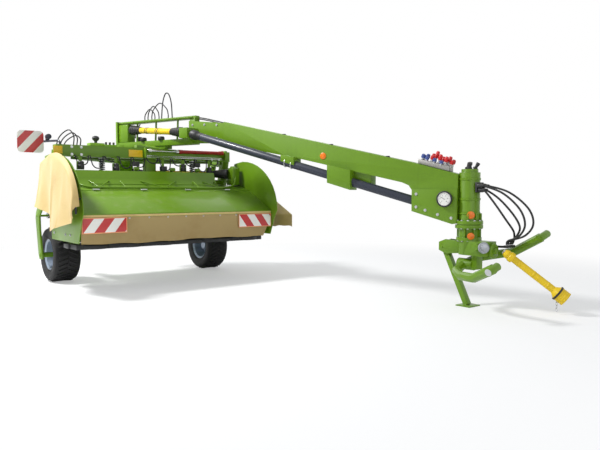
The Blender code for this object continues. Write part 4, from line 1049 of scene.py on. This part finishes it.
first, last, foot, top, w = 0.94, 1.18, 2.602, 3.02, 0.01
middle, half = (first + last) / 2, (last - first) / 2
shoulder = foot + 0.6 * (top - foot)
route = [draw(k, w, z) for k, z in (
    (first, foot), (first, foot + 0.04), (middle - 0.8 * half, shoulder), (middle - 0.4 * half, top - 0.035),
    (middle, top), (middle + 0.45 * half, top - 0.035), (middle + 0.85 * half, shoulder), (last, foot + 0.04),
    (last, foot))]
work = Work()
work.tube(smooth_route(route, 48), 0.010, 12)
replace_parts(work.done("tall_hose_loop", "drawbar", finishes["hose_rubber"], "hose_rubber", 50),
            "hose_loop_tall")
work = Work()
for first, last, top, w in ((0.60, 0.86, 2.83, 0.025), (0.74, 1.12, 2.86, -0.02), (0.55, 0.79, 2.78, 0.0)):
    middle, half = (first + last) / 2, (last - first) / 2
    route = [draw(first, w, 2.603), draw(first, w, 2.66),
             draw(middle - 0.8 * half, w, 2.60 + 0.62 * (top - 2.60)),
             draw(middle, w, top), draw(middle + 0.8 * half, w, 2.60 + 0.62 * (top - 2.60)),
             draw(last, w, 2.66),
             draw(last, w, 2.603)]
    work.tube(smooth_route(route, 40), 0.009, 10)
work.done("low_hose_loops", "drawbar", finishes["hose_rubber"], "hose_rubber", 50)

TOP_LINE = ((2.38, 2.454), (3.72, 2.14), (5.42, 1.76))


def beam_top(k):
    for (k0, z0), (k1, z1) in zip(TOP_LINE, TOP_LINE[1:]):
        if k <= k1:
            return z0 + (z1 - z0) * (k - k0) / (k1 - k0)
    return TOP_LINE[-1][1]


HOSE_DROPS = (0.036, 0.058, 0.080)    # the hoses on the beam's left side, below its top edge
work = Work()
for drop in HOSE_DROPS:
    work.tube([draw(k, 0.1225, beam_top(k) - drop + 0.003 * math.sin(k * 5 + drop * 90)) for k in
               (2.45 + 0.15 * index for index in range(20))], 0.010, 10)
work.done("beam_side_hoses", "drawbar", finishes["hose_rubber"], "hose_rubber", 50)
work = Work()
beam_turn = Matrix((draw_along, draw_left, Vector((0, 0, 1)))).transposed().to_4x4()
for k in (2.75, 3.45, 4.15, 4.85, 5.25):
    work.box((-0.020, -0.012, -0.046), (0.020, 0.016, 0.040),
             Matrix.Translation(draw(k, 0.1225, beam_top(k) - 0.055)) @ beam_turn)
for k in (3.47, 4.25, 5.09):
    work.box((-0.022, -0.020, -0.006), (0.022, 0.020, 0.016),
             Matrix.Translation(draw(k, -0.08, beam_top(k))) @ beam_turn)
work.done("hose_clips", "drawbar", finishes["black_plastic"], "black_plastic")

work = Work()
for index, (x, z, reach) in enumerate(((-1.18, 2.12, 0.26), (-1.13, 2.11, 0.22), (-1.08, 2.10, 0.18))):
    route = [at(x, -0.34, 2.086), at(x, -0.36, 2.10 + reach * 0.5), at(x - 0.06, -0.30, 2.06 + reach),
             at(x - 0.16, -0.16, 2.02 + reach * 0.7), at(x - 0.20, -0.10, 1.96), at(x - 0.20, -0.09, 1.93)]
    work.tube(smooth_route(route, 30), 0.009, 10)
for index in range(4):
    route = [at(-1.25 + 0.02 * index, -0.325, 2.00 - 0.022 * index)]
    for step in range(1, 12):
        x = -1.25 + step * 0.225
        route.append(at(x, -0.322 + 0.004 * math.sin(step * 2.1 + index),
                        2.00 - 0.022 * index - 0.012 * (step % 2)))
    work.tube(smooth_route(route, 60), 0.008, 8)
for index in range(11):
    x, sag = -1.22 + 0.225 * index, 0.10 + 0.05 * math.sin(index * 2.3)
    work.tube(smooth_route([at(x, -0.515, 1.935), at(x + 0.03, -0.55, 1.925 - sag),
                            at(x + 0.10, -0.57, 1.915 - 1.25 * sag),
                            at(x + 0.17, -0.55, 1.925 - sag), at(x + 0.20, -0.515, 1.935)], 20), 0.009, 8)
work.done("carrier_hoses", "carrier", finishes["hose_rubber"], "hose_rubber", 50)


# ---------------------------------------------------------------- suspension springs
# Coil springs round guide rods carry the deck's weight below the crossbeam.
for name, side in (("left", 1), ("right", -1)):
    x, y, low_z, high_z = side * 0.78, -0.42, 1.596, 1.914
    work = Work()
    turns = 9
    route = []
    for step in range(turns * 20 + 1):
        share = step / (turns * 20)
        angle = math.tau * turns * share
        route.append(at(x + 0.040 * math.cos(angle), y + 0.040 * math.sin(angle),
                        low_z + 0.02 + (high_z - low_z - 0.04) * share))
    work.tube(route, 0.0085, 8)
    coil = work.done("spring_coil_" + name, "carrier", finishes["dark_tube"], "dark_tube", 60)
    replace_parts(coil, "suspension_spring_" + name)
    work = Work()
    work.rod(at(x, y, low_z), at(x, y, high_z), 0.016)
    for z in (low_z, high_z - 0.012):
        work.rod(at(x, y, z), at(x, y, z + 0.012), 0.052)
    work.done("spring_guide_" + name, "carrier", finishes["zinc"], "zinc")


# ---------------------------------------------------------------- cutting discs and tine rotor
# Flat oval discs with a domed hub and two free blades each; rows of V tines on the rotor behind them.
for index in range(1, 7):
    pin = pins["disc_spin_%d" % index]
    body = "disc_%d" % index
    low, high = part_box(body)
    base = low.z + 0.0002
    work = Work()
    work.lathe([(0.0, 0.0), (0.168, 0.0), (0.176, 0.006), (0.172, 0.016), (0.120, 0.024), (0.088, 0.038),
                (0.060, 0.064),
                (0.045, 0.072), (0.0, 0.074)], Vector((pin.x, pin.y, base)),
                Vector((pin.x, pin.y, base + 1)), 44)
    shell = work.done(body + "_plate", body, finishes["bar_steel"], "blade_steel")
    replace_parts(shell, body)
    turn = 90 * ((index - 1) % 2)
    work = Work()
    for half in (0, 180):
        place = Matrix.Translation((pin.x, pin.y,
                                    base + 0.003)) @ Matrix.Rotation(math.radians(turn + half), 4, "Z")
        work.box((0.130, -0.022, 0.0), (0.240, 0.022, 0.004), place, 0.0012)
        work.rod(place @ Vector((0.148, 0, 0.0)), place @ Vector((0.148, 0, 0.026)), 0.012)
    work.done(body + "_blades", body, finishes["blade_steel"], "blade_steel")

pin = pins["rotor_spin"]
low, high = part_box("conditioner_rotor")
work = Work()
work.rod(Vector((low.x, pin.y, pin.z)), Vector((high.x, pin.y, pin.z)), 0.10, 0.004, 48)
shell = work.done("rotor_drum", "conditioner_rotor", finishes["green_paint"], "blade_steel")
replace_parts(shell, "conditioner_rotor")
tine = Work()
for lean in (-1, 1):
    place = Matrix.Rotation(math.radians(14 * lean), 4, "Y")
    tine.box((-0.007 + 0.012 * lean, -0.012, 0.085), (0.007 + 0.012 * lean, 0.012, 0.232), place, 0.003)
tines = []
for index in range(28):
    x = low.x + 0.08 + index * (high.x - low.x - 0.16) / 27
    for arm in range(2):
        turn = math.radians(180 * arm + 51 * index)
        tines.append(Matrix.Translation((x, pin.y, pin.z)) @ Matrix.Rotation(turn, 4, "X"))
repeat("rotor_tines", unit_mesh(tine), tines, "conditioner_rotor", finishes["blade_steel"])


# ---------------------------------------------------------------- small fittings on the hood and the frame
# The front guard's hinge pins, and the valve blocks with their knobs on top of the crossbeam.
work = Work()
for x in (-1.10, -0.37, 0.37, 1.10):
    work.rod(at(x - 0.05, -1.030, 1.422), at(x + 0.05, -1.030, 1.422), 0.010)
work.done("guard_hinges", "carrier", finishes["zinc"], "zinc")
work = Work()
work.box(at(-0.98, -0.50, 2.086), at(-0.76, -0.34, 2.13), edge=0.006)
work.box(at(-0.73, -0.40, 2.086), at(-0.53, -0.34, 2.12), edge=0.005)
work.done("valve_base", "carrier", leaf_green, "green_paint")
work = Work()
work.lathe([(0.0, 0.0), (0.022, 0.0), (0.022, 0.03), (0.045, 0.05), (0.055, 0.075), (0.045, 0.10),
            (0.020, 0.112),
            (0.0, 0.114)], at(-0.87, -0.42, 2.13), at(-0.87, -0.42, 3.0), 36)
for x in (-0.69, -0.63, -0.57):
    work.rod(at(x, -0.37, 2.12), at(x, -0.37, 2.16), 0.016)
work.done("valve_knobs", "carrier", finishes["black_plastic"], "black_plastic")


# ---------------------------------------------------------------- hydraulics and levers at the crossbeam
# Hard lines and a swath-door cylinder run along the crossbeam's left half; brackets hang valves below it.
work = Work()
work.rod(at(-0.06, -0.545, 2.045), at(0.46, -0.545, 2.050), 0.017)
for x in (-0.05, 0.44):
    work.rod(at(x - 0.03, -0.545, 2.046), at(x + 0.03, -0.545, 2.046), 0.030)
for z in (1.945, 1.968):
    work.tube(smooth_route([at(-0.10, -0.512, z), at(0.35, -0.514, z), at(0.9, -0.513, z),
                            at(1.36, -0.512, z)], 30), 0.007, 8)
work.done("door_cylinder_rod", "carrier", finishes["rod_chrome"], "rod_chrome")
work = Work()
work.rod(at(0.46, -0.545, 2.050), at(1.30, -0.545, 2.058), 0.029)
work.rod(at(0.46, -0.545, 2.050), at(0.53, -0.545, 2.051), 0.034)
work.rod(at(1.24, -0.545, 2.057), at(1.32, -0.545, 2.058), 0.034)
work.done("door_cylinder_barrel", "carrier", finishes["red_paint"], "red_paint")
work = Work()
for x, low, high, depth in ((-0.12, 1.93, 2.09, 0.07), (1.36, 1.93, 2.10, 0.07)):
    work.box(at(x - 0.012, -0.505 - depth, low), at(x + 0.012, -0.5055, high), edge=0.004)
for x, width, low, high, front in ((-0.62, 0.05, 1.70, 1.914, 0.11), (0.17, 0.04, 1.66, 1.914, 0.10),
                                   (0.52, 0.06, 1.72, 1.914, 0.12), (1.02, 0.05, 1.68, 1.914, 0.11),
                                   (-1.16, 0.05, 1.72, 1.914, 0.10)):
    work.box(at(x - width / 2, -0.47 - front, low + 0.10), at(x + width / 2, -0.455 - front, high),
             edge=0.004)
    work.box(at(x - width / 2, -0.47 - front, high - 0.012), at(x + width / 2, -0.45, high), edge=0.003)
    work.box(at(x - width / 2 - 0.03, -0.475 - front, low),
             at(x + width / 2 + 0.03, -0.45 - front, low + 0.12), edge=0.006)
for x in (-0.30, 0.32, 0.78):
    work.rod(at(x, -0.42, 1.59), at(x, -0.60, 1.75), 0.022)
    work.rod(at(x - 0.04, -0.60, 1.75), at(x + 0.04, -0.60, 1.75), 0.030)
work.done("lever_brackets", "carrier", finishes["green_paint"], "green_paint")
work = Work()
for x, z in ((-0.62, 1.76), (0.52, 1.78), (1.02, 1.74), (-1.16, 1.78)):
    work.lathe([(0.0, 0.0), (0.045, 0.0), (0.05, 0.01), (0.05, 0.05), (0.042, 0.06), (0.042, 0.10),
                (0.03, 0.115),
                (0.0, 0.118)], at(x, -0.585, z - 0.05), at(x, -0.585, z + 1), 28)
for x, z in ((0.17, 1.73), (-0.30, 1.79), (0.78, 1.80)):
    work.box(at(x - 0.05, -0.62, z), at(x + 0.05, -0.54, z + 0.07), edge=0.008)
work.done("valves_and_dampers", "carrier", finishes["black_plastic"], "black_plastic")
work = Work()
BOW_Y, BOW_Z = -0.95, 1.452    # the bow's middle, just above the hood
bow = [at(-1.26, -0.79, 1.50), at(-1.24, -0.86, 1.485), at(-1.17, BOW_Y + 0.03, BOW_Z + 0.008)]
bow += [at(x, BOW_Y, BOW_Z) for x in (-1.02, -0.5, 0.0, 0.5, 1.00)]
bow += [at(1.19, BOW_Y + 0.03, BOW_Z + 0.015), at(1.33, -0.87, 1.51), at(1.40, -0.81, 1.60),
        at(1.41, -0.80, 1.66)]
work.tube(smooth_route(bow, 80), 0.016, 12)
for foot, end in ((-1.10, -1.02), (-0.80, -1.02), (-0.62, -0.62), (-0.30, 0.02), (0.30, 0.02), (0.62, 0.62),
                  (0.80, 1.00), (1.02, 1.00)):
    work.tube([at(foot, -0.735, 1.555), at(end, BOW_Y, BOW_Z)], 0.010, 8)
work.tube([at(-1.10, -0.83, 1.505), at(1.00, -0.83, 1.505)], 0.009, 8)
work.done("hood_bow", "carrier", finishes["green_paint"], "green_paint", 50)


# ---------------------------------------------------------------- drawbar tower
# Tie rods, rubber boots, hoses and clamps on the open tower over the pivot and on the tube below the beam.
work = Work()
for w in (-0.07, 0.07):
    work.rod(draw(-0.055, w, 2.576), draw(1.70, w, 2.576), 0.012)
for k in (0.35, 0.80, 1.30):
    work.rod(draw(k, -0.09, 2.576), draw(k, 0.09, 2.576), 0.010)
    work.rod(draw(k, 0.0, 2.24), draw(k + 0.02, 0.0, 2.56), 0.016)
work.done("tower_rods", "drawbar", finishes["green_paint"], "green_paint")
work = Work()
work.lathe([(0.0, 0.0), (0.066, 0.0), (0.074, 0.02), (0.074, 0.10), (0.066, 0.12), (0.060, 0.13),
            (0.060, 0.20), (0.0, 0.20)],
           draw(1.845, -0.24, 2.284), draw(5.48, -0.048, 1.266), 40)
work.box(draw(0.30, 0.10, 2.25) + Vector((-0.04, -0.04, 0)),
         draw(0.30, 0.10, 2.25) + Vector((0.04, 0.04, 0.09)), edge=0.01)
for k in (0.60, 1.02):
    work.lathe([(0.0, 0.0), (0.05, 0.0), (0.055, 0.01), (0.055, 0.045), (0.045, 0.06), (0.0, 0.065)],
               draw(k, -0.085, 2.24), draw(k, -0.085, 3.0), 28)
work.done("tower_boots", "drawbar", finishes["black_plastic"], "black_plastic")
work = Work()
for start, drop in ((-0.02, 0.012), (0.10, 0.034)):
    level = 2.597 - drop
    work.tube(smooth_route([draw(start, 0.056, level), draw(0.6, 0.058, level),
                            draw(1.20, 0.056, level + 0.003),
                            draw(1.66, 0.066, level), draw(2.05, 0.095, 2.52 - drop),
                            draw(2.45, 0.1225, beam_top(2.45) - 0.024 - drop)], 40), 0.009, 8)
work.tube(smooth_route([draw(0.20, 0.10, 2.33), draw(0.14, 0.16, 2.42), draw(0.30, 0.13, 2.58),
                        draw(0.42, 0.06, 2.608)], 20),
          0.009, 8)
work.done("tower_hoses", "drawbar", finishes["hose_rubber"], "hose_rubber", 50)
work = Work()
tube_run = (draw(5.48, -0.048, 1.266) - draw(1.845, -0.24, 2.284)).normalized()
tube_turn = tube_run.to_track_quat("Z", "Y").to_matrix().to_4x4()
for k in (3.56, 3.66):
    place = draw(1.845, -0.24, 2.284) + tube_run * (k - 1.845) * 1.040
    ring = [Matrix.Translation(place) @ tube_turn @ Vector((0.064 * math.cos(turn), 0.064 * math.sin(turn),
                                                            0.0))
            for turn in (math.tau * step / 28 for step in range(29))]
    work.tube(ring, 0.007, 8)
work.done("tube_clamps", "drawbar", finishes["zinc"], "zinc")


# ---------------------------------------------------------------- hitch head fittings
# A bright gearbox cover, rubber hose guides, casting bands and ribs, and the yoke's link pins.
work = Work()
cap = head(0.285, -0.118, 0.735)
cap_out = Vector((-0.62, -0.78, 0.05)).normalized()
work.lathe([(0.0, -0.02), (0.055, -0.02), (0.060, 0.0), (0.067, 0.004), (0.067, 0.016), (0.060, 0.022),
            (0.052, 0.018),
            (0.040, 0.020), (0.036, 0.034), (0.016, 0.038), (0.0, 0.038)], cap, cap + cap_out, 56)
work.done("gearbox_cover", "hitch_head", metal("cast_cover", (0.40, 0.42, 0.45), 0.36), "zinc")
work = Work()
for side in (-1, 1):
    spin = Matrix.Rotation(math.radians(17.0), 3, (0, -1, 0))
    tip_end = head(0.0, 0.0, 0.51) + spin @ (head(0.71, side * 0.615, 0.725) - head(0.0, 0.0, 0.51))
    outward = spin @ Vector((side, 0.0, 0.0))
    work.lathe([(0.0, 0.0), (0.040, 0.0), (0.040, 0.006), (0.0, 0.008)], tip_end, tip_end + outward, 28)
work.done("link_pins", "hitch_yoke", finishes["zinc"], "zinc")
work = Work()
for z, radius in ((1.13, 0.131), (1.30, 0.131), (1.54, 0.131)):
    work.lathe([(radius - 0.012, -0.018), (radius, -0.012), (radius, 0.012), (radius - 0.012, 0.018)],
               column + Vector((0, 0, z)), column + Vector((0, 0, z + 1)), 56)
for turn in (-150, -110, -70, -30, 30):
    place = Matrix.Translation(column) @ Matrix.Rotation(math.radians(turn), 4, "Z")
    work.box((0.120, -0.007, 1.042), (0.152, 0.007, 1.13), place, 0.003)
work.done("column_bands", "drawbar", finishes["green_paint"], "green_paint")
work = Work()
for turn in (-165, -120, -75, 60, 105):
    place = Matrix.Translation(column) @ Matrix.Rotation(math.radians(turn), 4, "Z")
    work.box((0.115, -0.008, 0.842), (0.150, 0.008, 0.948), place, 0.003)
work.lathe([(0.0, 0.0), (0.085, 0.0), (0.090, 0.006), (0.090, 0.028), (0.080, 0.034), (0.0, 0.034)],
           head(0.299, 0.04, 0.69), head(1.0, 0.04, 0.69), 44)
work.done("head_ribs", "hitch_head", finishes["green_paint"], "green_paint")
work = Work()
for w, f, lean in ((-0.05, 0.03, -0.3), (0.03, 0.05, 0.4), (0.0, -0.04, 0.1)):
    foot = head(f, w, 1.659)
    work.lathe([(0.0, 0.0), (0.030, 0.0), (0.030, 0.020), (0.019, 0.026), (0.019, 0.050), (0.024, 0.055),
                (0.024, 0.085),
                (0.0, 0.088)], foot, foot + Vector((lean, -0.4, 1.0)), 20)
for port, level in ((0.05, 1.46), (-0.05, 1.46), (0.02, 1.41), (-0.03, 1.41)):
    work.lathe([(0.0, 0.0), (0.026, 0.0), (0.028, 0.01), (0.026, 0.03), (0.019, 0.06), (0.0155, 0.085),
                (0.0, 0.085)],
               head(0.1505, port, level), head(1.0, port, level - 0.01), 24)
work.done("hose_boots", "drawbar", finishes["black_plastic"], "black_plastic")
